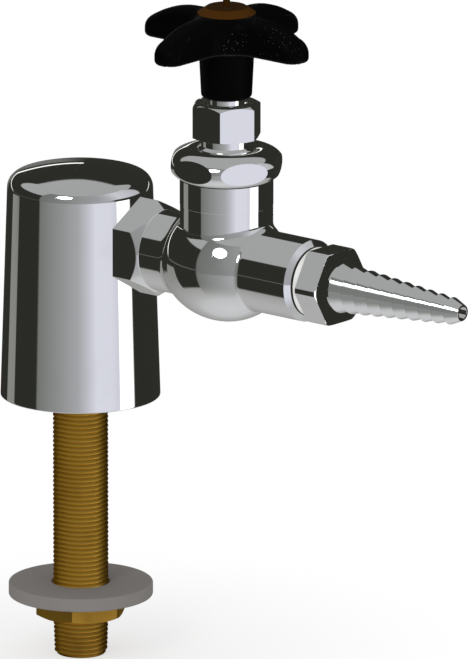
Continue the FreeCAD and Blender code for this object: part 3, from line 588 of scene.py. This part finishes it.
# Turns an outline of (radius, along) points round an axis through centre.
def turnPiece(name, outline, centre=(0, 0, 0), axis=zAxis, steps=96, closed=True):
    across = Vector((0, 0, 1)) if axis == xAxis else Vector((1, 0, 0))
    spots = [Vector(centre) + across * point[0] + Vector(axis) * point[1] for point in outline]
    piece = drawChain(name, spots + spots[:1] if closed else spots)
    bpy.ops.mesh.select_all(action="SELECT")
    bpy.ops.mesh.spin(steps=steps, angle=2 * math.pi, center=centre, axis=axis)
    setMode("OBJECT")
    cleanMesh(piece)
    return piece


# Cuts away what lies beyond each plane and closes the cut.
def cutPlanes(piece, planes):
    pick(piece)
    setMode("EDIT")
    for spot, facing in planes:
        bpy.ops.mesh.select_all(action="SELECT")
        bpy.ops.mesh.bisect(plane_co=spot, plane_no=facing, use_fill=True, clear_outer=True,
                            threshold=0.001 * mm)
    setMode("OBJECT")


# A hexagonal bar from low to high along an axis, with one corner at the given angle.
def hexBar(name, flats, low, high, centre=(0, 0, 0), axis=zAxis, corner=0):
    deselectAll()
    middle = Vector(centre) + Vector(axis) * (low + high) / 2
    bpy.ops.mesh.primitive_cylinder_add(vertices=6, radius=flats / math.sqrt(3), depth=high - low)
    bar = bpy.context.object
    bar.name = name
    bar.rotation_euler = (0, 0, math.radians(90 + corner))
    bpy.ops.object.transform_apply(rotation=True)
    if axis == xAxis:
        bar.rotation_euler = (0, math.radians(90), 0)
    bar.location = middle
    bpy.ops.object.transform_apply(location=True, rotation=True)
    return bar


def addCylinder(radius, length, location, rotation=(0, 0, 0), vertices=96):
    deselectAll()
    bpy.ops.mesh.primitive_cylinder_add(vertices=vertices, radius=radius, depth=length, location=location,
                                        rotation=rotation)
    bpy.ops.object.transform_apply(location=True, rotation=True)
    return bpy.context.object


def addBlock(size, location, turn=0):
    deselectAll()
    bpy.ops.mesh.primitive_cube_add(size=1, location=location)
    made = bpy.context.object
    made.scale = size
    made.rotation_euler = (0, 0, turn)
    bpy.ops.object.transform_apply(location=True, rotation=True, scale=True)
    return made


def coat(piece, finish):
    piece.visible_glossy = False  # the polish shows the studio, not the tap itself
    piece.data.materials.clear()
    piece.data.materials.append(finishes[finish])


# Smooth faces with crisp edges, then the piece is tied to its body and the imported nodes it stands for are
# hidden.
def finishPiece(piece, nodes, body="tap", finish="chrome", edge=30, form=None):
    pick(piece)
    if form:
        bpy.ops.object.shade_smooth()
        shadeFrom(piece, form)
    else:
        bpy.ops.object.shade_smooth_by_angle(angle=math.radians(edge))
        modify(piece, "WEIGHTED_NORMAL", mode="FACE_AREA", weight=100, keep_sharp=True)
    coat(piece, finish)
    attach(piece, body)
    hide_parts(*nodes)
    print(piece.name, "finished,", len(piece.data.polygons), "faces")


def sizeOf(vectors):
    return np.linalg.norm(vectors, axis=1)


def unit(vectors):
    return vectors / np.maximum(sizeOf(vectors), 1e-9)[:, None]


# A form is a pair: the distance from many points to a surface, and the direction straight out of it.
def flip(form):
    return -form[0], -form[1]


# Joins two forms with a fillet of the given radius.
def join(first, second, radius):
    turn = (first[1] * second[1]).sum(1)
    left = radius - first[0]
    right = radius - second[0]
    spread = np.maximum(1 - turn ** 2, 1e-4)
    alongFirst = (left - turn * right) / spread
    alongSecond = (right - turn * left) / spread
    pull = alongFirst[:, None] * first[1] + alongSecond[:, None] * second[1]
    reach = sizeOf(pull)
    filleted = (alongFirst > 0) & (alongSecond > 0)
    nearer = np.where(first[0] < second[0], first[0], second[0])
    nearerWay = np.where((first[0] < second[0])[:, None], first[1], second[1])
    far = np.where(filleted, radius - reach, nearer)  # the radius may differ from point to point
    way = np.where(filleted[:, None], unit(pull), nearerWay)
    return far, way


# Keeps what is inside both forms, with a rounded edge.
def meet(first, second, radius):
    return flip(join(flip(first), flip(second), radius))


# A round bar along one axis.
def barForm(points, axis, radius):
    out = points.copy()
    out[:, axis] = 0
    return sizeOf(out) - radius, unit(out)


def planeForm(points, axis, height, facing):
    way = np.zeros_like(points)
    way[:, axis] = facing
    return (points[:, axis] - height) * facing, way


# Pulls every point of a piece on to a form.
def pullOnto(piece, form, rounds=8):
    points = pointsOf(piece)
    for _ in range(rounds):
        far, way = form(points)
        points = points - far[:, None] * way
    piece.data.vertices.foreach_set("co", points.ravel())
    piece.data.update()


def pointsOf(piece):
    flat = np.empty(len(piece.data.vertices) * 3)
    piece.data.vertices.foreach_get("co", flat)
    return flat.reshape(-1, 3)


# Remeshes a joined blank finely and brings it to its form, smoothed in between.
def growForm(piece, form, grid, rounds, smoothing):
    modify(piece, "REMESH", mode="VOXEL", voxel_size=grid)
    for _ in range(rounds):
        modify(piece, "SMOOTH", factor=0.5, iterations=smoothing)
        pullOnto(piece, form)


# Gives the shading the form's own directions; cut faces keep theirs.
def shadeFrom(piece, form):
    mesh = piece.data
    way = form(pointsOf(piece))[1]
    normals = []
    for face in mesh.polygons:
        for index in face.vertices:
            direction = Vector(way[index])
            normals.append(direction if direction.dot(face.normal) > 0.8 else face.normal.copy())
    mesh.normals_split_custom_set(normals)


# Turret: a tapered casting with a rounded edge and a low dome, open underneath.
turret = lengths(foot=24.55, corner=22.26, cornerZ=68.78, dome=3.82, edge=4.6, wall=2.8, roof=7.0,
                 boss=13.0, bossLift=3.0, lip=0.35, socket=8.55, socketTop=19.0)
turret.update(edgeSteps=12, domeSteps=14)
turretSlope = (turret["foot"] - turret["corner"]) / turret["cornerZ"]


def turretOutline():
    corner = turret["corner"]
    rise = turret["dome"]
    edge = turret["edge"]
    domeRadius = (corner ** 2 + rise ** 2) / (2 * rise)
    domeZ = turret["cornerZ"] + rise - domeRadius
    lean = math.atan(turretSlope)
    # centre of the edge's arc, found by halving: edge inside the taper and edge inside the dome
    low = corner - 2 * edge
    high = corner
    for _ in range(60):
        x = (low + high) / 2
        z = domeZ + math.sqrt((domeRadius - edge) ** 2 - x * x)
        inside = (turret["foot"] - turretSlope * z - x) * math.cos(lean)
        if inside > edge:
            low = x
        else:
            high = x
    middle = Vector((x, z))
    points = []
    lastTurn = math.atan2(middle.y - domeZ, middle.x)
    for step in range(turret["edgeSteps"] + 1):
        turn = lean + (lastTurn - lean) * step / turret["edgeSteps"]
        points.append(middle + Vector((math.cos(turn), math.sin(turn))) * edge)
    for step in range(1, turret["domeSteps"]):
        turn = lastTurn + (math.pi / 2 - lastTurn) * step / turret["domeSteps"]
        points.append(Vector((domeRadius * math.cos(turn), domeZ + domeRadius * math.sin(turn))))
    points.append(Vector((0, domeZ + domeRadius)))
    return points


def makeTurret():
    roofZ = turret["cornerZ"] - turret["roof"]
    inner = turret["foot"] - turret["wall"]
    under = roundCorners([
        (0, turret["socketTop"]),
        (turret["socket"], turret["socketTop"]),
        (turret["socket"], turret["bossLift"]),
        (turret["boss"], turret["bossLift"], turret["lip"]),
        (turret["boss"], roofZ, turret["wall"]),
        (inner - turretSlope * roofZ, roofZ, turret["wall"]),
        (inner, 0, turret["lip"]),
        (turret["foot"], 0, turret["lip"]),
        (turret["foot"] - turretSlope * turret["lip"], turret["lip"] * 2),
    ], closed=False)
    piece = turnPiece("turret_casting", under + turretOutline(), steps=160, closed=False)
    finishPiece(piece, ["turret_body"])


makeTurret()


# Shank: a pipe with a real helical thread, tapered at its lower end.
shank = lengths(crest=8.5, pitch=1.411, depth=0.85, crestWidth=0.2, bore=6.25, taper=12.3, taperDrop=0.4,
                chamfer=0.8, top=18.9, over=4)
shank.update(rootLand=0.06, steps=72)


def makeShank():
    pitch = shank["pitch"]
    crest = shank["crest"]
    top = shank["top"]
    start = floorZ - 2 * pitch
    turns = math.ceil((top - start) / pitch) + 2
    width = shank["crestWidth"]
    half = (pitch - width) / 2
    root = crest - shank["depth"]
    ridge = [(crest, 0), (crest, width), (root, width + half * (1 - shank["rootLand"])),
             (root, width + half * (1 + shank["rootLand"])), (crest, pitch)]
    piece = drawChain("shank_thread", [Vector((reach, 0, start + along)) for reach, along in ridge])
    setMode("OBJECT")
    modify(piece, "SCREW", axis="Z", angle=2 * math.pi, screw_offset=pitch, iterations=turns,
           steps=shank["steps"], render_steps=shank["steps"], use_merge_vertices=False)
    cleanMesh(piece)
    cutPlanes(piece, [((0, 0, floorZ), (0, 0, -1)), ((0, 0, top), zAxis)])
    cleanMesh(piece)
    # taper and chamfer of the lower end
    points = pointsOf(piece)
    rise = points[:, 2] - floorZ
    reach = np.hypot(points[:, 0], points[:, 1])
    drop = shank["taperDrop"] * np.clip(1 - rise / shank["taper"], 0, 1)
    limit = crest - drop - np.maximum(shank["chamfer"] - rise, 0)
    wanted = np.minimum(reach - drop, limit)
    points[:, :2] *= (wanted / np.maximum(reach, mm))[:, None]
    piece.data.vertices.foreach_set("co", points.ravel())
    carve(piece, addCylinder(shank["bore"], top - floorZ + shank["over"], (0, 0, (top + floorZ) / 2),
                             vertices=shank["steps"]))
    cleanMesh(piece)
    finishPiece(piece, ["supply_shank"], finish="thread", edge=28)


makeShank()


# Washer and locknut that clamp the deck.
washer = lengths(bore=8.9, rim=22.2, rounding=0.55, drop=0.3, underDrop=0.45)
locknut = lengths(flats=25.2, bore=8.56, edge=0.25, drop=1.0)


def makeWasher():
    low, high = spanOf("deck_washer", 2)
    low -= washer["underDrop"]
    high -= washer["drop"]
    soft = washer["rounding"]
    outline = roundCorners([
        (washer["bore"], low, soft / 2), (washer["rim"], low, soft),
        (washer["rim"], high, soft), (washer["bore"], high, soft / 2),
    ], turn=20)
    piece = turnPiece("thick_washer", outline, steps=128)
    finishPiece(piece, ["deck_washer"], "washer", "grey_rubber", edge=50)


# A hexagon nut: a bar cut by a turned outline, and its edges softened if a width is given.
def makeNut(name, outline, flats, low, high, edge, centre=(0, 0, 0), axis=zAxis, steps=96, corner=0):
    turning = turnPiece(name + "_turning", outline, centre, axis, steps)
    piece = carve(hexBar(name, flats, low, high, centre, axis, corner), turning, "INTERSECT")
    cleanMesh(piece, 0.01 * mm)
    if edge:
        modify(piece, "BEVEL", width=edge, segments=3, limit_method="ANGLE", angle_limit=math.radians(20),
               use_clamp_overlap=True)
    return piece


def makeLocknut():
    low, high = spanOf("locknut", 2)
    low -= locknut["drop"]
    high -= washer["underDrop"]
    bore = locknut["bore"]
    point = locknut["flats"] / math.sqrt(3)
    face = locknut["flats"] / 2
    drop = (point - face) / 2
    piece = makeNut("shank_locknut", [
        (bore, low), (face, low), (point, low + drop), (point, high - drop), (face, high), (bore, high),
    ], locknut["flats"], low, high, locknut["edge"])
    finishPiece(piece, ["locknut"], "locknut", "brass", edge=40)


makeWasher()
makeLocknut()


# Valve body: arms, ball and neck run into each other with fillets.
valve = lengths(arm=12.6, ball=17.8, ballInlet=21.4, ballOutlet=20.2, neck=14.2, inletFillet=4.5,
                outletFillet=2.3, neckFillet=2.7, hexStart=0.3, hexLength=10.4, hexFlats=26.2,
                hexChamfer=3.0, rimLength=1.2, rimDepth=1.86, shoulder=26.7, lineRise=18.7, band=14.27,
                bandEdge=0.09, bandDepth=0.6, grid=0.42, edge=0.18)


def valveForm(points):
    local = points - np.array((valveX, 0, armZ))
    halves = np.full_like(local, valve["ball"])
    halves[:, 0] = np.where(local[:, 0] < 0, valve["ballInlet"], valve["ballOutlet"])
    scaled = sizeOf(local / halves)
    slope = local / halves ** 2 / np.maximum(scaled, 1e-6)[:, None]
    ball = (scaled - 1) / np.maximum(sizeOf(slope), 1e-6), unit(slope)
    arm = barForm(local, 0, valve["arm"])
    neck = barForm(local, 2, valve["neck"])
    neck = np.where(local[:, 2] > 0, neck[0], 1.0), neck[1]
    fillet = np.where(local[:, 0] < 0, valve["inletFillet"], valve["outletFillet"])
    return join(join(ball, arm, fillet), neck, valve["neckFillet"])


def makeValveForm():
    hexEnd = inletFace + valve["hexLength"]
    rimStart = barrelEnd - valve["rimLength"]
    over = 3 * valve["grid"]
    shoulderZ = armZ + valve["shoulder"]
    bpy.ops.mesh.primitive_uv_sphere_add(segments=64, ring_count=32, radius=valve["ball"],
                                         location=(valveX, 0, armZ))
    piece = bpy.context.object
    piece.name = "valve_form"
    bpy.ops.object.transform_apply(location=True)
    arm = addCylinder(valve["arm"] + valve["grid"] / 2, rimStart - hexEnd + 2 * over,
                      ((hexEnd + rimStart) / 2, 0, armZ), (0, math.pi / 2, 0))
    neck = addCylinder(valve["neck"] + valve["grid"] / 2, valve["shoulder"] + over,
                       (valveX, 0, armZ + (valve["shoulder"] + over) / 2))
    carve(piece, arm, "UNION")
    carve(piece, neck, "UNION")
    growForm(piece, valveForm, valve["grid"], 3, 4)
    cutPlanes(piece, [((hexEnd, 0, 0), (-1, 0, 0)), ((rimStart, 0, 0), xAxis), ((0, 0, shoulderZ), zAxis)])
    cleanMesh(piece, 0.02 * mm)
    return piece


def makeInletHex():
    start = inletFace + valve["hexStart"]
    end = inletFace + valve["hexLength"]
    point = valve["hexFlats"] / math.sqrt(3)
    return makeNut("inlet_hexagon", [
        (ways["socket"], start), (point, start), (point, end - valve["hexChamfer"]),
        (valve["arm"], end), (ways["socket"], end),
    ], valve["hexFlats"], start, end, valve["edge"], *armTurning)


def makeOutletRim():
    start = barrelEnd - valve["rimLength"]
    bore = ways["outletSocket"]
    outline = [(bore, start), (valve["arm"], start), (valve["arm"] - valve["rimDepth"], barrelEnd),
               (bore, barrelEnd)]
    return turnPiece("outlet_rim", outline, *armTurning[:2], 128)


ways = lengths(socketDepth=15.0, passage=3.2, well=6.0, wellLow=-13.2, webLow=-5.8, webHigh=-1.2, seat=5.05,
               seatDepth=8, chamber=9.0, chamberOver=6, outlet=5.0, outletSocket=8.35, outletDepth=12.0,
               overlap=1.2, over=1)
ways.update(socket=turret["socket"], passageLean=132)


# Drills the inlet, the slanting passage, the well below the seat, the chamber and the outlet.
def drillWays(piece):
    over = ways["over"]
    inner = inletFace + ways["socketDepth"]
    bend = valveX - valve["ball"] + ways["passage"]
    outlet = valveX + ways["chamber"] - ways["overlap"]
    # radius by name, start along the arm, start over the arm, length, and lean from upright in degrees
    drills = [
        ("socket", inletFace - over, 0, ways["socketDepth"] + over, 90),
        ("passage", inner - over, 0, bend - inner + over, 90),
        ("passage", bend - ways["passage"] / 2, 0, valve["ball"], ways["passageLean"]),
        ("well", valveX, ways["wellLow"], ways["webLow"] - ways["wellLow"], 0),
        ("seat", valveX, ways["webLow"] - over, ways["seatDepth"], 0),
        ("chamber", valveX, ways["webHigh"], valve["shoulder"] + ways["chamberOver"], 0),
        ("outlet", outlet, 0, barrelEnd - outlet, 90),
        ("outletSocket", barrelEnd - ways["outletDepth"], 0, ways["outletDepth"] + over, 90),
    ]
    tool = None
    for way, x, rise, length, lean in drills:
        lean = math.radians(lean)
        middle = Vector((x, 0, armZ + rise)) + Vector((math.sin(lean), 0, math.cos(lean))) * length / 2
        made = addCylinder(ways[way], length, middle, (0, lean, 0), 64)
        tool = carve(tool, made, "UNION") if tool else made
    carve(piece, tool)
    cleanMesh(piece, 0.001 * mm)


# A thin turned band round the top of the neck, whose lower edge shows as a fine line.
def makeNeckBand():
    low = armZ + valve["lineRise"]
    high = armZ + valve["shoulder"]
    inner = valve["neck"] - valve["bandDepth"]
    outline = [
        (inner, low), (valve["band"] - valve["bandEdge"], low), (valve["band"], low + valve["bandEdge"]),
        (valve["band"], high), (inner, high),
    ]
    return turnPiece("neck_band", outline, stemPlace, steps=144)


def makeValve():
    finishPiece(makeNeckBand(), ["valve_body"])
    form = makeValveForm()
    drillWays(form)
    finishPiece(form, ["valve_body"], form=valveForm)
    finishPiece(makeInletHex(), ["valve_body"], edge=25)
    finishPiece(makeOutletRim(), ["valve_body"])


makeValve()


# Bonnet with its collar, the cap nut, the packing nut and the spindle.
bonnet = lengths(guide=5.66, body=8.95, flange=13.2, flangeLift=0.6, flangeTall=2.55, step=9.0,
                 stepRise=6.72, coneRise=7.35, collar=7.7, packing=6.3, packingRise=1.0, packingWeb=3.8,
                 stem=4.46, soft=0.25)
capNut = lengths(ring=11.42, wide=6.18, tall=4.926, crest=6.55, flats=31.8, hole=9.1, thread=13.65,
                 gap=0.05)
capNut["steps"] = 40
packingNut = lengths(flats=19.05, drop=1.15, lower=0.8, web=2.9, chamfer=0.9, hole=5.59, gap=0.05, edge=0.2)
spindle = lengths(shoulder=5.35, shoulderLift=0.2, shoulderIn=0.7, thread=5.6, threadLength=8.4, stem=4.4,
                  square=7.4, squareSink=0.2, bore=2.5, boreDepth=10, soft=0.3)


def makeBonnet():
    low, high = spanOf("bonnet", 2)
    flangeLow = neckTop + bonnet["flangeLift"]
    flangeHigh = flangeLow + bonnet["flangeTall"]
    packingFloor = neckTop + bonnet["packingRise"]
    threadTop = packingFloor - bonnet["packingWeb"]
    soft = bonnet["soft"]
    outline = roundCorners([
        (bonnet["guide"], low), (bonnet["body"], low), (bonnet["body"], flangeLow),
        (bonnet["flange"], flangeLow), (bonnet["flange"], flangeHigh), (bonnet["step"], flangeHigh),
        (bonnet["step"], neckTop + bonnet["stepRise"], soft * 2),
        (bonnet["collar"], neckTop + bonnet["coneRise"]),
        (bonnet["collar"], high, soft), (bonnet["packing"], high), (bonnet["packing"], packingFloor),
        (bonnet["stem"], packingFloor), (bonnet["stem"], threadTop), (bonnet["guide"], threadTop),
    ])
    finishPiece(turnPiece("bonnet_collar", outline, stemPlace), ["bonnet"])


# The cap nut's rim is an oval ring, cut by six flats.
def makeCapNut():
    low = spanOf("bonnet_nut", 2)[0]
    ringZ = neckTop + capNut["crest"] - capNut["tall"]
    webZ = neckTop + bonnet["flangeLift"] + bonnet["flangeTall"] + capNut["gap"]
    wide = capNut["wide"]
    tall = capNut["tall"]
    steps = capNut["steps"]
    firstTurn = math.acos((capNut["thread"] - capNut["ring"]) / wide)
    lastTurn = math.pi - math.acos((capNut["ring"] - capNut["hole"]) / wide)
    outline = [(capNut["hole"], webZ), (capNut["thread"], webZ)]
    for step in range(steps + 1):
        turn = -firstTurn + (lastTurn + firstTurn) * step / steps
        outline.append((capNut["ring"] + wide * math.cos(turn), ringZ + tall * math.sin(turn)))
    piece = makeNut("cap_nut", outline, capNut["flats"], low - mm, ringZ + 2 * tall, None, stemPlace,
                    steps=144)
    finishPiece(piece, ["bonnet_nut"], edge=17)


def makePackingNut():
    low, high = spanOf("packing_nut", 2)
    web = high - packingNut["web"]
    low -= packingNut["drop"]
    high -= packingNut["lower"]
    point = packingNut["flats"] / math.sqrt(3)
    face = packingNut["flats"] / 2
    bore = bonnet["collar"] + packingNut["gap"]
    piece = makeNut("packing_hexagon", [
        (bore, low), (face, low), (point, low + packingNut["chamfer"] * 0.5),
        (point, high - packingNut["chamfer"]), (face, high), (packingNut["hole"], high),
        (packingNut["hole"], web), (bore, web),
    ], packingNut["flats"], low, high, packingNut["edge"], stemPlace, steps=120)
    finishPiece(piece, ["packing_nut"], edge=25)


def makeSpindle():
    low, high = spanOf("spindle", 2)
    shoulderLow = spanOf("packing_nut", 2)[1] - packingNut["web"] + spindle["shoulderLift"]
    shoulderHigh = hubFoot + spindle["shoulderIn"]
    threadTop = low + spindle["threadLength"]
    boreTop = low + spindle["boreDepth"]
    soft = spindle["soft"]
    outline = roundCorners([
        (spindle["bore"], low), (spindle["thread"], low, soft), (spindle["thread"], threadTop, soft),
        (spindle["stem"], threadTop), (spindle["stem"], shoulderLow), (spindle["shoulder"], shoulderLow),
        (spindle["shoulder"], shoulderHigh), (0, shoulderHigh), (0, boreTop), (spindle["bore"], boreTop),
    ])
    piece = turnPiece("spindle_stem", outline, stemPlace)
    side = spindle["square"]
    sink = spindle["squareSink"]
    carve(piece, addBlock((side, side, high - shoulderHigh + sink),
                          (valveX, 0, (shoulderHigh + high - sink) / 2)), "UNION")
    finishPiece(piece, ["spindle"], "spindle")


makeBonnet()
makeCapNut()
makePackingNut()
makeSpindle()


# Handle: four full-rounded arms on a tapered hub, and the amber button in its middle.
handle = lengths(halfArm=4.8, reach=31.2, root=8.3, under=15.06, height=11.2, flat=12.5, edgeRise=4.1,
                 hubLow=7.73, hubHigh=8.48, hubRound=1.2, hubWeld=0.8, topRound=4.0, underRound=1.4,
                 grid=0.45, recess=7.0, recessDepth=12.2, socket=0.8, socketGap=0.05, broachGap=0.1, over=1)
handle["blank"] = 0.8
button = lengths(rim=9.05, top=6.05, plug=6.95, nub=1.05, nubFlare=0.1, nubStart=0.05, nubDrop=0.02,
                 soft=0.3)
gripTop = handle["under"] + handle["height"]


def handleForm(points):
    local = points - np.array((valveX, 0, hubFoot))
    tip = handle["reach"] - handle["halfArm"]
    arms = []
    for axis in (0, 1):
        out = local.copy()
        out[:, axis] -= np.clip(out[:, axis], -tip, tip)
        out[:, 2] = 0
        arms.append((sizeOf(out) - handle["halfArm"], unit(out)))
    star = join(arms[0], arms[1], handle["root"])
    fall = handle["height"] - handle["edgeRise"]
    out = handle["reach"] - handle["flat"]
    crownRadius = (out ** 2 + fall ** 2) / (2 * fall)
    level = local * (1, 1, 0)
    reach = sizeOf(level)
    past = unit(level) * np.maximum(reach - handle["flat"], 0)[:, None]
    past[:, 2] = local[:, 2] - gripTop + crownRadius
    crown = sizeOf(past) - crownRadius, unit(past)
    grip = meet(star, crown, handle["topRound"])
    grip = meet(grip, planeForm(local, 2, handle["under"], -1), handle["underRound"])
    grow = (handle["hubHigh"] - handle["hubLow"]) / handle["under"]
    side = unit(level)
    side[:, 2] = -grow
    hub = (reach - handle["hubLow"] - grow * local[:, 2]) / math.hypot(1, grow), unit(side)
    hub = meet(hub, planeForm(local, 2, 0, -1), handle["hubRound"])
    hub = meet(hub, planeForm(local, 2, handle["under"] + handle["height"] / 2, 1), handle["hubRound"])
    return join(grip, hub, handle["hubWeld"])


# Cuts the square broach, the seat of the spindle's shoulder and the recess under the button.
def openHandle(piece):
    over = handle["over"]
    tool = addCylinder(handle["recess"], handle["recessDepth"] + over,
                       (valveX, 0, hubFoot + gripTop - (handle["recessDepth"] - over) / 2), vertices=64)
    socket = addCylinder(spindle["shoulder"] + handle["socketGap"], handle["socket"] + over,
                         (valveX, 0, hubFoot + (handle["socket"] - over) / 2), vertices=64)
    side = spindle["square"] + handle["broachGap"]
    carve(tool, addBlock((side, side, gripTop), (valveX, 0, hubFoot + gripTop / 2 - over)), "UNION")
    carve(tool, socket, "UNION")
    carve(piece, tool)
    cleanMesh(piece, 0.001 * mm)


def makeHandle():
    piece = addCylinder(handle["hubHigh"], gripTop, (valveX, 0, hubFoot + gripTop / 2), vertices=64)
    piece.name = "handle_grip"
    length = 2 * handle["reach"] - handle["halfArm"]
    middle = (valveX, 0, hubFoot + handle["under"] + handle["height"] / 2)
    for turn in (0, math.pi / 2):
        arm = addBlock((length, 2 * handle["halfArm"], handle["height"] * handle["blank"]), middle, turn)
        carve(piece, arm, "UNION")
    growForm(piece, handleForm, handle["grid"], 5, 5)
    cleanMesh(piece, 0.02 * mm)
    openHandle(piece)
    finishPiece(piece, ["handle"], "spindle", "black_plastic", form=handleForm)


def makeButton():
    low, high = spanOf("index_button", 2)
    seat = hubFoot + gripTop
    tip = high - button["nubDrop"]
    soft = button["soft"]
    outline = roundCorners([
        (0, low), (button["plug"], low), (button["plug"], seat), (button["rim"], seat, soft / 5),
        (button["top"], buttonTop, soft),
        (button["nub"] + button["nubFlare"], buttonTop + button["nubStart"], soft),
        (button["nub"], tip, soft), (0, tip),
    ], closed=False)
    piece = turnPiece("amber_button", outline, stemPlace, closed=False)
    finishPiece(piece, ["index_button"], "spindle", "amber_plastic", edge=40)


makeHandle()
makeButton()


# Hose nozzle: hexagon, neck and ten saw-tooth serrations round one bore.
nozzle = lengths(gap=0.75, backRadius=10.7, backLength=2.3, frontRadius=11.55, flats=22.2, hexLength=7.6,
                 frontLength=0.4, barRadius=12.4, neck=7.0, neckLength=1.2, neckStart=1, sunk=0.3,
                 pitch=4.71, lastPitch=4.26, firstBarb=7.70, shrink=0.385, step=1.2, valley=0.02, tip=2.5,
                 mouth=1.8, bore=2.15, wideBore=4.2, thread=8.3, ringGap=0.02, edge=0.16, soft=0.07)
nozzle.update(frontShare=0.7, barbs=10)


def makeNozzle():
    start = spanOf("hose_nozzle", 0)[0]
    face = barrelEnd + nozzle["gap"]
    hexStart = face + nozzle["backLength"]
    front = hexStart + nozzle["hexLength"] + nozzle["frontLength"]
    neckStart = front - nozzle["neckStart"]
    barbStart = front + nozzle["neckLength"]
    pitch = nozzle["pitch"]
    soft = nozzle["soft"]
    corners = [
        (nozzle["wideBore"], start), (nozzle["thread"], start), (nozzle["thread"], neckStart),
        (nozzle["neck"], neckStart), (nozzle["neck"], barbStart),
    ]
    for index in range(nozzle["barbs"]):
        large = nozzle["firstBarb"] - index * nozzle["shrink"]
        small = large - nozzle["shrink"] - nozzle["step"]
        corners.append((large, barbStart + index * pitch, soft))
        if index < nozzle["barbs"] - 1:
            corners.append((small, barbStart + (index + 1) * pitch, nozzle["valley"]))
    tipEnd = barbStart + (nozzle["barbs"] - 1) * pitch + nozzle["lastPitch"]
    corners += [(nozzle["tip"], tipEnd, soft), (nozzle["mouth"], tipEnd, soft), (nozzle["bore"], hexStart),
                (nozzle["wideBore"], face)]
    tail = turnPiece("hose_barb", roundCorners(corners, turn=40), *armTurning)
    inner = nozzle["neck"] - nozzle["sunk"]
    collar = makeNut("nozzle_hexagon", [
        (inner, hexStart), (nozzle["barRadius"], hexStart),
        (nozzle["barRadius"], front - nozzle["frontLength"] * nozzle["frontShare"]),
        (nozzle["frontRadius"], front), (inner, front),
    ], nozzle["flats"], hexStart, front, nozzle["edge"], *armTurning, 30)
    inner = nozzle["thread"] + nozzle["ringGap"]
    outline = roundCorners([
        (inner, face), (nozzle["backRadius"], face, nozzle["edge"]),
        (nozzle["backRadius"], hexStart, nozzle["edge"]), (inner, hexStart),
    ])
    ring = turnPiece("nozzle_washer", outline, *armTurning)
    finishPiece(ring, ["hose_nozzle"], finish="packing", edge=40)
    finishPiece(collar, ["hose_nozzle"], edge=25)
    finishPiece(tail, ["hose_nozzle"], edge=25)


makeNozzle()


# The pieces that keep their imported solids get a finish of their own.
def finishPacked():
    kept = {
        "inlet_nipple": "plated_brass", "valve_seat": "steel", "seat_gasket": "fibre",
        "needle_cone": "steel", "needle_clip": "steel", "bonnet_gasket": "fibre",
        "packing_rings": "packing", "packing_gland": "brass", "lock_washer": "steel",
        "handle_screw": "steel", "nozzle_seal": "black_rubber",
    }
    for node, finish in kept.items():
        coat(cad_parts[node], finish)


finishPacked()
